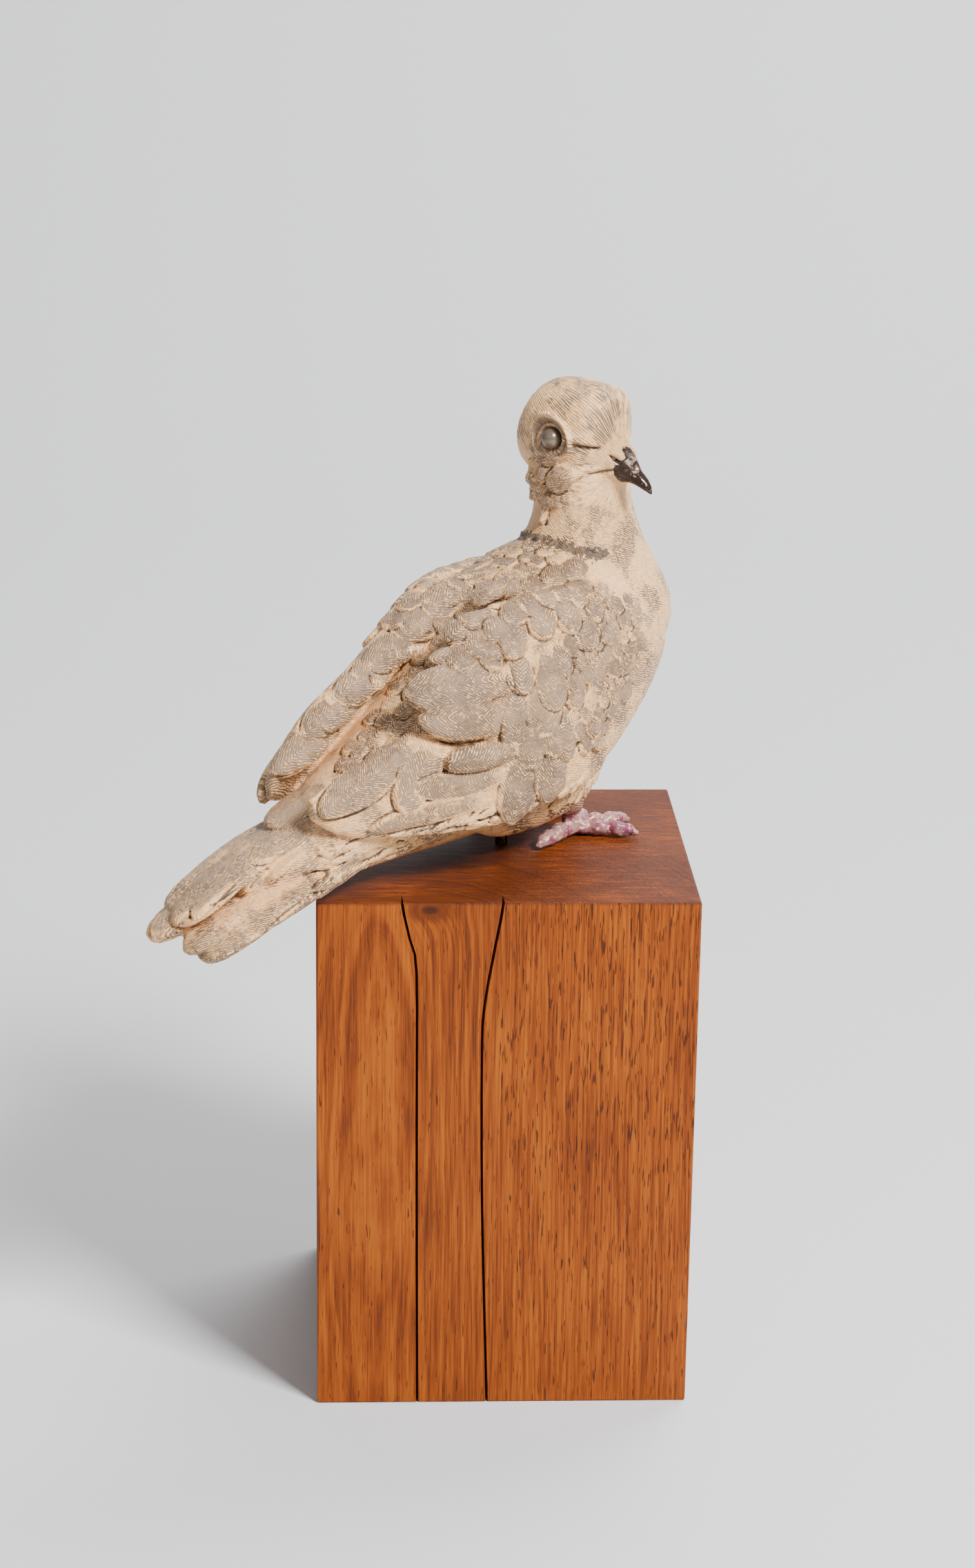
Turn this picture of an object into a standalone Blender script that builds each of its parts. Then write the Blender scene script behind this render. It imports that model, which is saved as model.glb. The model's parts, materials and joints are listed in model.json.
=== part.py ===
"""A cast dove that looks back over its shoulder, held by a rod on an upright block of wood.

Run it with: blender --background --python part.py
The row frame is in metres, with +Z up and the origin at the middle of the block's underside.
The block's front face looks along -Y. The dove is modelled in a frame of its own, with +X
towards its breast, +Y to its left and the top of the block at zero height. Its tables are in
a unit that is a share of its length, and a millimetre at its present length.
"""

import math

import bmesh
import bpy
import numpy as np
from mathutils import Matrix, Vector
from mathutils.bvhtree import BVHTree

# The block of wood, with its eased edges and its two drying shakes
BLOCK_WIDTH = 0.130
BLOCK_DEPTH = 0.126
BLOCK_HEIGHT = 0.187
BLOCK_EDGE = 0.0007
SHAKE_WIDTH = 0.0010
SHAKE_DEPTH = 0.004
SHAKE_DEPTH_ON_TOP = 0.008

# The dove, from its breast to the end of its tail, and where it looks, in degrees
DOVE_LENGTH = 0.218
DOVE_HEADING = 40.0
HEAD_TURN = -76.0
HEAD_NOD = 20.0

# The rod that carries the dove, and the gap where pieces meet
ROD_DIAMETER = 0.0045
SEAT_GAP = 0.0003

# The faceted surface
DOVE_TRIANGLES = 9450
CELL = 0.8

UNIT = DOVE_LENGTH / 218
ROD_AT = (-26.0, -3.5)

# Where each shake runs down the front: a share of the height, and a share of the width
SHAKES = (
    ((1.0, 0.220), (0.93, 0.243), (0.865, 0.261), (0.6, 0.264), (0.3, 0.267), (0.0, 0.271)),
    ((1.0, 0.487), (0.90, 0.461), (0.81, 0.441), (0.72, 0.434), (0.4, 0.440), (0.0, 0.460)),
)

# The trunk, at each place along it: top, bottom, half its width and how much its belly narrows
TRUNK = (
    (48.5, 79, 70, 4, 0),
    (46, 89, 60, 13, 0.1),
    (40, 97, 52.5, 19, 0.3),
    (30, 103, 44, 26, 0.5),
    (15, 107, 33, 31, 0.6),
    (0, 107, 22.5, 33, 0.6),
    (-15, 103, 13, 34, 0.4),
    (-30, 95, 9, 33.5, 0.15),
    (-45, 84, 7.5, 31, 0.05),
    (-65, 67, 6.5, 26, 0),
    (-88, 49, 5.5, 21, 0),
    (-105, 36, 4.5, 18, 0),
    (-117, 28, 4.5, 15, 0),
    (-130, 20, 5, 11, 0),
    (-143, 13, 6, 7, 0),
)

# The neck, at each height: its middle, and half its length and width
NECK = (
    (78, 13, 33, 29),
    (90, 13.5, 30.5, 26),
    (98, 14, 26.5, 23),
    (106, 14.5, 22, 19.5),
    (114, 14.5, 18.5, 17.5),
    (122, 13.5, 17.3, 16.5),
    (132, 12, 16.5, 15.5),
)

# The head in its own frame, from the back forwards: top, bottom, half its width and its narrowing
HEAD_AT = (12.0, 0.0, 141.0)
HEAD = (
    (-21.3, 3, -4, 4, 0),
    (-20, 9, -12, 9.5, 0),
    (-16.5, 14, -17, 12.8, 0),
    (-10, 17.8, -19.5, 15.2, 0),
    (-3, 19.6, -18.5, 16.3, 0),
    (4, 21.2, -17, 16.3, 0),
    (8.5, 20.2, -15.2, 15, 0),
    (11.6, 16.2, -13.4, 12.6, 0),
    (13.6, 11.6, -11.8, 10.2, 0),
    (16.2, 7.0, -10.4, 8.2, 0),
    (19.4, 3, -8.8, 6.6, 0),
    (22.5, 0.5, -7.4, 5, 0),
)

# The bill in the head's frame, from its root to its tip
BILL = (
    (16, 1, -7.4, 5, 0),
    (19.5, 2.6, -7.2, 5, 0),
    (22.8, 2.4, -6.8, 4.4, 0),
    (25.6, 0, -6.2, 3.1, 0),
    (29.5, -1.8, -6.4, 2.7, 0),
    (33, -3.8, -7.4, 2.0, 0),
    (35.2, -6.0, -8.2, 0.8, 0),
)
EYE_AT = (-1.6, 14.3, 1.6)
EYE_RADIUS = 3.5

# Tufts that stand out behind the cheeks, in the head's frame: middle and radius
TUFTS = (
    ((-4.5, 12.6, -18.2), 4.3),
    ((-1.0, 9.8, -13.0), 4.6),
    ((4.6, 8.6, -12.0), 5.0),
    ((4.0, 8.0, -18.5), 4.4),
)

# Creases of the face, in the head's frame: where each starts and ends, how wide and how deep
CREASES = (
    ((5.0, 1.4), (14.5, 3.2), 0.8, 1.1),
    ((10.5, -10.2), (20.5, -3.6), 0.8, 1.0),
    ((-9.5, -7.5), (4.5, -5.2), 0.9, 0.7),
)

# The folded wing, at each place along it: how far out, how high, half its height and half its
# thickness, and how far its top leans in. Behind the shoulder the left and right wings differ.
WING = (
    (30, 22, 71, 9, 5, 4),
    (18, 25.5, 70, 19, 7.5, 4),
    (0, 28, 66, 28.5, 9, 7),
    (-20, 29, 61.5, 34.5, 10, 10),
    (-40, 28, 59.5, 35, 9.5, 14),
    (-50, 26.5, 56, 35, 9, 15),
)
WING_ENDS = {
    1: (
        (-60, 25, 51.5, 33, 8.5, 16),
        (-80, 21, 46, 26, 7, 18),
        (-100, 17.5, 42.5, 18, 5, 18),
        (-112, 15, 38, 10.5, 3.6, 18),
        (-118, 13, 35, 4, 2.2, 18),
    ),
    -1: (
        (-60, 25, 48, 28, 8.5, 16),
        (-72, 23, 41, 21, 7.5, 17),
        (-84, 21, 37, 16, 6.5, 18),
        (-100, 17.5, 33.5, 12, 5, 18),
        (-113, 14.5, 33, 8, 3.6, 18),
        (-121, 13, 34, 3.5, 2.2, 18),
    ),
}

# The feathered thigh, at each place along it, and how far out it sits
THIGH = (
    (5.5, 32, 26, 3, 0),
    (1, 42, 19, 8, 0),
    (-8, 50, 12, 11.5, 0),
    (-26, 46, 9, 13, 0),
    (-42, 38, 9, 10, 0),
    (-54, 28, 14, 4, 0),
)
THIGH_OUT = 16.0

# The leg's tuft and shank, each as places, heights and radii, and how far out the foot stands
FOOT_OUT = 13.0
SHANK = ((-3, 16, 3.2), (-1.5, 9, 3.1), (0, 3.4, 3.8))
THIGH_TUFT = ((-4, 36, 13), (-4, 24, 9.5), (-3, 15, 6.4), (-2.5, 9.5, 4.8))

# The way and length of each toe of the right foot, and the height and radius along a toe
TOES = ((-10, 24.5), (-49, 23.6), (33, 17.6), (-166, 23.6))
TOE = (
    (0, 3.4, 3.4),
    (0.22, 2.8, 2.7),
    (0.40, 3.1, 3.1),
    (0.58, 2.6, 2.5),
    (0.74, 2.8, 2.8),
    (0.88, 2.2, 2.0),
    (1.0, 1.3, 1.0),
)

# Long feathers that stand free at their edges: base, tip, width, thickness, bank and arch
TAIL_FEATHERS = (
    ((-96, 8, 21), (-170.5, 10, -6), 20, 6.5, 0.0, 1.5),
    ((-98, 1, 18), (-161.5, 1, -4.5), 13, 6, 0.0, 1.5),
    ((-92, -8, 16), (-162.5, -9, -8.5), 20, 7, 0.15, 1.5),
    ((-84, -11, 16), (-149, -14.5, -1), 9, 6, 0.5, 0.0),
    ((-104, 10, 26), (-161, 12, 2), 14, 4, -0.1, 1.5),
    ((-104, 1, 29), (-165, 2, 0), 21, 5, 0.1, 2.0),
    ((-100, -5, 26), (-137, -8, 11), 13, 4, 0.3, 1.5),
    ((-92, -11, 25), (-118, -12.5, 14), 12, 4, 0.45, 1.0),
    ((-94, 5, 34), (-124, 4, 24), 17, 4, 0.0, 1.0),
)
WING_TOPS = (
    ((-50, -31, 71), (-84, -18, 67), 17, 5, -1.05, 1.5),
    ((-50, -34, 57), (-81, -22, 60), 15, 5, -1.2, 1.5),
    ((-50, -37, 47), (-76, -29, 46), 7, 4, -1.3, 1.0),
    ((-51, -27, 79), (-71, -15, 76), 9, 4, -0.9, 1.0),
    ((-43, -24, 88), (-63, -13, 83), 11, 4, -0.8, 1.0),
    ((-24, -12, 98), (-45, -6, 90), 10, 4, -0.5, 1.0),
    ((-28, 9, 93), (-52, 10, 84.5), 13, 5, -0.75, 1.5),
    ((-40, 10, 87), (-64, 11, 77), 13, 5, -0.75, 1.5),
    ((-52, 10, 79), (-77, 11, 69), 13, 5, -0.75, 1.5),
    ((-65, 10, 71), (-91, 11, 61), 13, 5, -0.75, 1.5),
    ((-78, 10, 62), (-105, 11, 51), 12, 5, -0.75, 1.5),
    ((-92, 10, 52), (-117, 11, 39.5), 11, 5, -0.75, 1.5),
)
BLUNT, POINTED = 5.0, 2.4

# Carved feathers of the wing's side, front to back: the middle's place and height, the way the
# feather points, its length and width, and how far its tip stands up
WING_FEATHERS = (
    (-7, 81, -112, 10, 8, 1.1),
    (-10, 89, -112, 10, 7, 1.0),
    (-14, 94, -105, 12, 7, 1.0),
    (-17, 82, -80, 12, 10, 1.2),
    (-18, 51, -92, 10, 8, 1.0),
    (-23, 89, -82, 14, 9, 1.3),
    (-25, 65, -95, 15, 8, 1.2),
    (-29, 75, -95, 12, 9, 1.2),
    (-31, 47, -108, 12, 8, 1.2),
    (-33, 89, -86, 15, 10, 1.4),
    (-34, 52, -120, 19, 13, 1.2),
    (-35, 69, -93, 20, 11, 1.6),
    (-38, 37, -104, 18, 13, 1.3),
    (-39, 61, -92, 20, 13, 1.1),
    (-45, 84, -100, 15, 10, 1.4),
    (-46, 72, -92, 13, 9, 1.4),
    (-46, 51, -94, 20, 11, 1.4),
    (-50, 58, -100, 19, 9, 1.2),
    (-51, 35, -108, 23, 13, 1.5),
    (-54, 79, -104, 11, 8, 1.2),
    (-62, 46, -176, 26, 8, 1.4),
    (-70, 38, -176, 34, 9, 1.4),
    (-80, 30, -176, 44, 7, 1.2),
    (-84, 43, -132, 27, 12, 1.4),
    (-97, 44, -154, 44, 12, 1.6),
)
COVERT_REGION = ((9, 92), (10, 76), (4, 63), (-5, 55), (-14, 44), (-27, 40), (-30, 62), (-20, 96))
COVERT_SIZE = 7.5


def clear_scene():
    """Removes every object and mesh that the file starts with."""
    for item in list(bpy.data.objects):
        bpy.data.objects.remove(item, do_unlink=True)
    for mesh in list(bpy.data.meshes):
        bpy.data.meshes.remove(mesh)


def material(name, colour, roughness, metallic=0.0):
    """A finish with one colour, roughness and metallic value."""
    finish = bpy.data.materials.new(name)
    finish.use_nodes = True
    shader = finish.node_tree.nodes["Principled BSDF"]
    shader.inputs["Base Color"].default_value = (*colour, 1.0)
    shader.inputs["Roughness"].default_value = roughness
    shader.inputs["Metallic"].default_value = metallic
    return finish


def placed(name, mesh, finish=None):
    """An object of this mesh and finish in the scene."""
    item = bpy.data.objects.new(name, mesh)
    if finish:
        mesh.materials.append(finish)
    bpy.context.scene.collection.objects.link(item)
    return item


def settled(form):
    """The mesh of a form with its modifiers applied. The form itself goes."""
    graph = bpy.context.evaluated_depsgraph_get()
    mesh = bpy.data.meshes.new_from_object(form.evaluated_get(graph))
    bpy.data.objects.remove(form, do_unlink=True)
    return mesh


def eased(rows, steps):
    """A smooth curve through the rows of a table, with so many steps between two rows."""
    rows = np.array(rows, float)
    padded = np.vstack([2 * rows[0] - rows[1], rows, 2 * rows[-1] - rows[-2]])
    share = np.arange(steps)[:, None] / steps
    parts = []
    for i in range(1, len(padded) - 2):
        a, b, c, d = padded[i - 1 : i + 3]
        bend = (2 * a - 5 * b + 4 * c - d) * share**2 + (3 * b - a - 3 * c + d) * share**3
        parts.append(0.5 * (2 * b + (c - a) * share + bend))
    return np.vstack(parts + [rows[-1:]])


def skin(rings):
    """The points and faces of a closed form through rings of equally many points."""
    count, around, _ = rings.shape
    ends = np.array([rings[0].mean(axis=0), rings[-1].mean(axis=0)])
    points = np.vstack([rings.reshape(-1, 3), ends])
    first, last = count * around, count * around + 1
    faces = []
    for j in range(around):
        k = (j + 1) % around
        faces.append((first, k, j))
        faces.append((last, first - around + j, first - around + k))
        for i in range(0, first - around, around):
            faces.append((i + j, i + k, i + around + k, i + around + j))
    return points, faces


def rounds(middles, sides, ups, around=40, fullness=2.0):
    """Rings about the middles, each spanned by a side and an up vector of half its width and height."""
    turn = np.arange(around) * (2 * math.pi / around)
    across = np.sign(np.cos(turn)) * np.abs(np.cos(turn)) ** (2 / fullness)
    upward = np.sign(np.sin(turn)) * np.abs(np.sin(turn)) ** (2 / fullness)
    return middles[:, None] + across[:, None] * sides[:, None] + upward[:, None] * ups[:, None]


def along_x(table, fullness=2.0):
    """A form whose table gives the place along X, the top, the bottom, half the width and a narrowing."""
    x, top, bottom, half, narrow = eased(table, 5).T
    still = np.zeros_like(x)
    middles = np.stack([x, still, (top + bottom) / 2], axis=1)
    sides = np.stack([still, half, still], axis=1)
    ups = np.stack([still, still, (top - bottom) / 2], axis=1)
    rings = rounds(middles, sides, ups, fullness=fullness)
    depth = np.clip((middles[:, None, 2] - rings[:, :, 2]) / ups[:, None, 2], 0, 1)
    rings[:, :, 1] *= 1 - narrow[:, None] * depth
    return skin(rings[::-1])


def neck():
    """The neck, from inside the breast to inside the head."""
    z, x, long, wide = eased(NECK, 5).T
    still = np.zeros_like(x)
    middles = np.stack([x, still, z], axis=1)
    sides = np.stack([long, still, still], axis=1)
    ups = np.stack([still, wide, still], axis=1)
    return skin(rounds(middles, sides, ups))


def wing(side):
    """One folded wing, on the left for a side of 1 and on the right for -1."""
    x, out, z, tall, thick, lean = eased(WING + WING_ENDS[side], 5).T
    lean = np.radians(lean)
    still = np.zeros_like(x)
    middles = np.stack([x, side * out, z], axis=1)
    sides = np.stack([still, side * thick * np.cos(lean), thick * np.sin(lean)], axis=1)
    ups = np.stack([still, -side * tall * np.sin(lean), tall * np.cos(lean)], axis=1)
    rings = rounds(middles, sides, ups, fullness=2.2)
    return skin(rings[::-1] if side > 0 else rings)


def tube(path, radii, around=16):
    """A round limb along a path, with a radius at each of its points."""
    rows = eased(np.column_stack([np.array(path, float), radii]), 4)
    middles, radii = rows[:, :3], rows[:, 3:]
    along = np.gradient(middles, axis=0)
    along /= np.linalg.norm(along, axis=1)[:, None]
    helper = np.where(np.abs(along[:, 2:]) > 0.8, [[1.0, 0.0, 0.0]], [[0.0, 0.0, 1.0]])
    sides = np.cross(helper, along)
    sides /= np.linalg.norm(sides, axis=1)[:, None]
    ups = np.cross(along, sides)
    return skin(rounds(middles, sides * radii, ups * radii, around))


def ball(middle, radius, around=24):
    """A round form."""
    steps = np.linspace(0.06, math.pi - 0.06, around // 2)
    still = np.zeros_like(steps)
    middles = np.array(middle, float) + np.stack([still, still, -radius * np.cos(steps)], axis=1)
    reach = radius * np.sin(steps)
    sides = np.stack([reach, still, still], axis=1)
    ups = np.stack([still, reach, still], axis=1)
    return skin(rounds(middles, sides, ups, around))


def blade(share, tip_form=POINTED):
    """How wide a feather is at a share of its length, with a narrow base and a pointed or blunt tip."""
    base = 0.62 + 0.38 * np.clip(share / 0.45, 0, 1)
    tip = np.clip((share - 0.5) / 0.5, 0, 1)
    return base * np.sqrt(np.clip(1 - tip**tip_form, 0.0004, 1))


def plate(base, tip, width, thick, bank, arch, tip_form):
    """A long feather from its base to its tip, banked about its shaft and arched along it."""
    base, tip = np.array(base, float), np.array(tip, float)
    share = np.concatenate([[0.0, 0.04], np.linspace(0.12, 0.88, 9), [0.94, 0.98, 1.0]])
    along = (tip - base) / np.linalg.norm(tip - base)
    level = np.cross((0.0, 0.0, 1.0), along)
    level /= np.linalg.norm(level)
    upright = np.cross(along, level)
    flat = level * math.cos(bank) + upright * math.sin(bank)
    rise = upright * math.cos(bank) - level * math.sin(bank)
    middles = base + np.outer(share, tip - base) + np.outer(arch * np.sin(math.pi * share), rise)
    half = width / 2 * blade(share, tip_form)
    deep = thick / 2 * np.sqrt(blade(share, tip_form))
    return skin(rounds(middles, np.outer(half, flat), np.outer(deep, rise), 20))


def head_turn():
    """How the head's frame is turned in the dove's frame."""
    nod, turn = math.radians(HEAD_NOD), math.radians(HEAD_TURN)
    return np.array(Matrix.Rotation(turn, 3, "Z") @ Matrix.Rotation(nod, 3, "Y"))


def in_head(shape):
    """A shape of the head's frame, nodded, turned and set on the neck."""
    points, faces = shape
    return points @ head_turn().T + HEAD_AT, faces


def throat():
    """What fills the corner between the chin and the neck."""
    chin = head_turn() @ (11.0, 0.0, -8.0) + HEAD_AT
    return tube((chin, (15.5, -7.0, 121.0), (17.0, -4.0, 110.0)), (6.5, 8.5, 12.0))


def leg(side):
    """A leg with its tuft of feathers and its four toes."""
    out = side * FOOT_OUT
    shapes = []
    for limb in (THIGH_TUFT, SHANK):
        shapes.append(tube([(x, out, z) for x, z, _ in limb], [radius for _, _, radius in limb]))
    for way, length in TOES:
        turn = -side * math.radians(way)
        path = []
        for share, high, _ in TOE:
            reach = share * length
            path.append((reach * math.cos(turn), out + reach * math.sin(turn), high))
        shapes.append(tube(path, [radius for _, _, radius in TOE]))
    return shapes


def dove_form():
    """The dove's smooth form, as shapes that run into each other."""
    shapes = [along_x(TRUNK, 2.2), neck(), throat(), wing(1), wing(-1)]
    shapes += [in_head(along_x(HEAD, 2.1)), in_head(along_x(BILL))]
    for side in (1, -1):
        shapes += leg(side)
        points, faces = along_x(THIGH, 2.2)
        shapes.append((points + (0, side * THIGH_OUT, 0), faces))
        for (x, out, z), radius in TUFTS + ((EYE_AT, EYE_RADIUS),):
            shapes.append(in_head(ball((x, side * out, z), radius)))
    shapes += [plate(*row, BLUNT) for row in TAIL_FEATHERS]
    shapes += [plate(*row, POINTED) for row in WING_TOPS]
    return shapes


def made_one(shapes):
    """The mesh of one closed surface about all the shapes."""
    points, faces, start = [], [], 0
    for shape_points, shape_faces in shapes:
        points.append(shape_points)
        faces += [tuple(start + i for i in face) for face in shape_faces]
        start += len(shape_points)
    mesh = bpy.data.meshes.new("form")
    mesh.from_pydata(np.vstack(points).tolist(), [], faces)
    form = placed("form", mesh)
    remesh = form.modifiers.new("one_skin", "REMESH")
    remesh.mode = "VOXEL"
    remesh.voxel_size = CELL
    return settled(form)


def with_fewer_facets(mesh):
    """The mesh with its facets gathered where the surface is flat."""
    form = placed("form", mesh)
    fewer = form.modifiers.new("facets", "DECIMATE")
    fewer.ratio = DOVE_TRIANGLES / (2 * len(mesh.polygons))
    return settled(form)


def points_of(mesh):
    """The mesh's points as an array."""
    points = np.empty(len(mesh.vertices) * 3)
    mesh.vertices.foreach_get("co", points)
    return points.reshape(-1, 3)


def normals_of(mesh):
    """The direction that the surface faces at each point of the mesh."""
    normals = np.empty(len(mesh.vertices) * 3, np.float32)
    mesh.vertices.foreach_get("normal", normals)
    return normals.reshape(-1, 3).astype(float)


def move_points(mesh, points):
    """Puts the mesh's points in new places."""
    mesh.vertices.foreach_set("co", points.reshape(-1))
    mesh.update()


def bump(value, middle, spread):
    """A smooth share that is 1 at the middle and falls to 0 over the spread."""
    return np.exp(-(((value - middle) / spread) ** 2))


def smooth(mesh, times, share):
    """Moves each point towards the middle of its neighbours, by a share that may differ by point."""
    edges = np.empty(len(mesh.edges) * 2, np.int32)
    mesh.edges.foreach_get("vertices", edges)
    one, other = edges.reshape(-1, 2).T
    points = points_of(mesh)
    count = np.bincount(edges, minlength=len(points))[:, None]
    for _ in range(times):
        total = np.empty_like(points)
        for axis in range(3):
            total[:, axis] = np.bincount(one, points[other, axis], len(points))
            total[:, axis] += np.bincount(other, points[one, axis], len(points))
        points += share[:, None] * (total / count - points)
    move_points(mesh, points)


def smooth_joins(mesh):
    """Rounds the whole a little, and more where the neck meets the head, the back and the breast."""
    points = points_of(mesh)
    smooth(mesh, 3, np.full(len(points), 0.5))
    around_neck = bump(points[:, 2], 104, 12) * (points[:, 0] > -30)
    below_head = bump(points[:, 2], 119, 5) * 0.6
    mantle = bump(points[:, 0], -22, 22) * bump(points[:, 1], 0, 16) * (points[:, 2] > 60)
    smooth(mesh, 130, 0.5 * np.clip(around_neck + below_head + mantle, 0, 1))


class Surface:
    """The dove's skin, with what is carved on it: a height that each point is raised by."""

    def __init__(self, mesh):
        self.mesh = mesh
        self.points = points_of(mesh)
        self.normals = normals_of(mesh)
        self.height = np.zeros(len(self.points))
        self.tree = BVHTree.FromPolygons(self.points.tolist(), [face.vertices for face in mesh.polygons])

    def feather(self, start, way, pointing_to, length, width, rise, depth=5.0):
        """Carves one feather where a line from the start meets the skin, its tip away from its base."""
        place, facing, _, _ = self.tree.ray_cast(Vector(start), Vector(way))
        if place is None:
            return
        middle, normal = np.array(place), np.array(facing)
        along = pointing_to - normal * (pointing_to @ normal)
        along /= np.linalg.norm(along)
        across = np.cross(normal, along)
        away = self.points - middle
        share = away @ along / length + 0.5
        near = (share > 0) & (share < 1) & (np.abs(away @ across) < width / 2)
        near &= (np.abs(away @ normal) < depth) & (self.normals @ normal > 0.1)
        share = share[near]
        half = width / 2 * blade(share)
        sideways = np.abs(away[near] @ across)
        inside = np.minimum(half - sideways, (1 - share) * length * 0.6)
        edge = np.clip(inside / (0.9 * CELL), 0, 1)
        base = np.clip(share / 0.3, 0, 1)
        crown = 1 - 0.25 * np.clip(sideways / half, 0, 1) ** 2
        raised = rise * (0.35 + 0.65 * share) * crown * edge * edge * (3 - 2 * edge) * base
        self.height[near] = np.maximum(self.height[near], raised)

    def carve(self):
        """Raises each point by its height, along the way that the skin faces."""
        move_points(self.mesh, self.points + self.normals * self.height[:, None])


def pointing(degrees):
    """A direction in the dove's upright middle plane, 0 forwards and -90 down."""
    turn = math.radians(degrees)
    return np.array([math.cos(turn), 0.0, math.sin(turn)])


def within(region, x, z):
    """Whether a place is inside a region given by its corners."""
    inside = False
    for i, (x1, z1) in enumerate(region):
        x2, z2 = region[i - 1]
        if (z1 > z) != (z2 > z) and x < (x2 - x1) * (z - z1) / (z2 - z1) + x1:
            inside = not inside
    return inside


def wing_coverts():
    """Places and ways of the shoulder's small feathers: staggered rows between the carved ones."""
    places = []
    pitch = 0.8 * COVERT_SIZE
    taken = [(x, z) for x, z, *_ in WING_FEATHERS]
    for row in range(12):
        for column in range(9):
            x = 12 - pitch * (column + 0.5 * (row % 2))
            z = 98 - 0.8 * pitch * row
            clear = all(math.hypot(x - a, z - b) > 0.62 * COVERT_SIZE for a, b in taken)
            if clear and within(COVERT_REGION, x, z):
                places.append((x, z, -98 - 1.2 * (12 - x) + 7 * math.sin(5 * row + 3 * column)))
    return places


def carve_wings(surface):
    """The feathers on both sides."""
    for side in (1, -1):
        way = (0, -side, 0)
        for x, z, degrees, length, width, rise in WING_FEATHERS:
            surface.feather((x, side * 90, z), way, pointing(degrees), length, width, 1.25 * rise)
        for x, z, degrees in wing_coverts():
            long, wide = 1.15 * COVERT_SIZE, 0.95 * COVERT_SIZE
            surface.feather((x, side * 90, z), way, pointing(degrees), long, wide, 1.1)


def carve_back(surface):
    """Low feathers on the mantle and the rump, in staggered rows from front to back."""
    for row in range(16):
        x = -4 - 6.5 * row
        reach = 17 if x > -44 else 10
        for column in range(-3, 4):
            y = 7.2 * (column + 0.5 * (row % 2))
            if abs(y) > reach:
                continue
            back = np.array([-1.0, 0.012 * y, -0.5])
            surface.feather((x, y, 160), (0, 0, -1), back, 10.5, 8.0, 0.6)


def crease(forth, up, start, end, width, depth):
    """A groove along a line of the face, with a soft fold above it."""
    start, end = np.array(start), np.array(end)
    along = (end - start) / np.linalg.norm(end - start)
    share = ((forth - start[0]) * along[0] + (up - start[1]) * along[1]) / np.linalg.norm(end - start)
    off = (up - start[1]) * along[0] - (forth - start[0]) * along[1]
    faded = np.clip(5 * share, 0, 1) * np.clip(5 * (1 - share), 0, 1)
    return depth * faded * (0.7 * bump(off, 2.4 * width, 1.5 * width) - bump(off, 0, width))


def carve_face(surface):
    """The sunk socket, the lid and the brow about each eye, and the creases of the face."""
    local = (surface.points - HEAD_AT) @ head_turn()
    forth, up = local[:, 0], local[:, 2]
    for side in (1, -1):
        on_side = (side * local[:, 1] > 3) & (np.abs(up) < 16)
        far = np.hypot(forth - EYE_AT[0], up - EYE_AT[2])
        above = np.clip(0.5 + (up - EYE_AT[2]) / 8, 0, 1)
        socket = 0.9 * bump(far, EYE_RADIUS + 0.6, 0.8) + 1.1 * bump(far, 6.4, 1.0) * (0.4 + above)
        lids = 0.7 * bump(far, EYE_RADIUS + 1.6, 0.8) + 1.0 * bump(far, 8.2, 1.3) * above
        surface.height += on_side * (lids - socket)
        for line in CREASES:
            surface.height += on_side * crease(forth, up, *line)


def corner_reach():
    """How far behind the feet the block's front left corner is, in the dove's unit."""
    turn = math.radians(DOVE_HEADING)
    back = BLOCK_WIDTH / 2 * math.cos(turn) + BLOCK_DEPTH / 2 * math.sin(turn)
    return back / UNIT - ROD_AT[0]


def clear_of_corner(points):
    """The points with the tail held level until it is past the block's corner."""
    falls_from, fall = 116.5, 0.24
    lift = np.minimum(-points[:, 0], corner_reach()) - falls_from
    return points + np.outer(fall * np.clip(lift, 0, None), (0, 0, 1))


def dove(finish):
    """The dove, one casting with its wings, tail, legs and toes."""
    mesh = made_one(dove_form())
    smooth_joins(mesh)
    surface = Surface(mesh)
    carve_wings(surface)
    carve_back(surface)
    carve_face(surface)
    surface.carve()
    move_points(mesh, clear_of_corner(points_of(mesh)))
    mesh = with_fewer_facets(mesh)
    points = points_of(mesh)
    over_block = points[:, 0] > -60
    points[over_block, 2] = np.clip(points[over_block, 2], 0, None)
    move_points(mesh, points)
    seat = Matrix.Translation((0, 0, BLOCK_HEIGHT + SEAT_GAP))
    heading = Matrix.Rotation(math.radians(DOVE_HEADING), 4, "Z")
    over_rod = Matrix.Translation((-ROD_AT[0] * UNIT, -ROD_AT[1] * UNIT, 0))
    mesh.transform(seat @ heading @ over_rod @ Matrix.Scale(UNIT, 4))
    mesh.shade_smooth()
    mesh.name = "dove"
    return placed("dove", mesh, finish)


def block(finish):
    """The upright block of wood, its edges eased, with a shake cut by each cutter."""
    form = bmesh.new()
    bmesh.ops.create_cube(form, size=1.0)
    bmesh.ops.scale(form, vec=(BLOCK_WIDTH, BLOCK_DEPTH, BLOCK_HEIGHT), verts=form.verts)
    bmesh.ops.translate(form, vec=(0, 0, BLOCK_HEIGHT / 2), verts=form.verts)
    bmesh.ops.bevel(form, geom=form.edges, offset=BLOCK_EDGE, segments=2, profile=0.5, affect="EDGES")
    mesh = bpy.data.meshes.new("plinth")
    form.to_mesh(mesh)
    form.free()
    item = placed("plinth", mesh, finish)
    for number, path in enumerate(SHAKES, 1):
        cut = item.modifiers.new(f"shake_{number}", "BOOLEAN")
        cut.operation = "DIFFERENCE"
        cut.solver = "EXACT"
        cut.object = shake_cutter(number, path)
    return item


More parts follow.
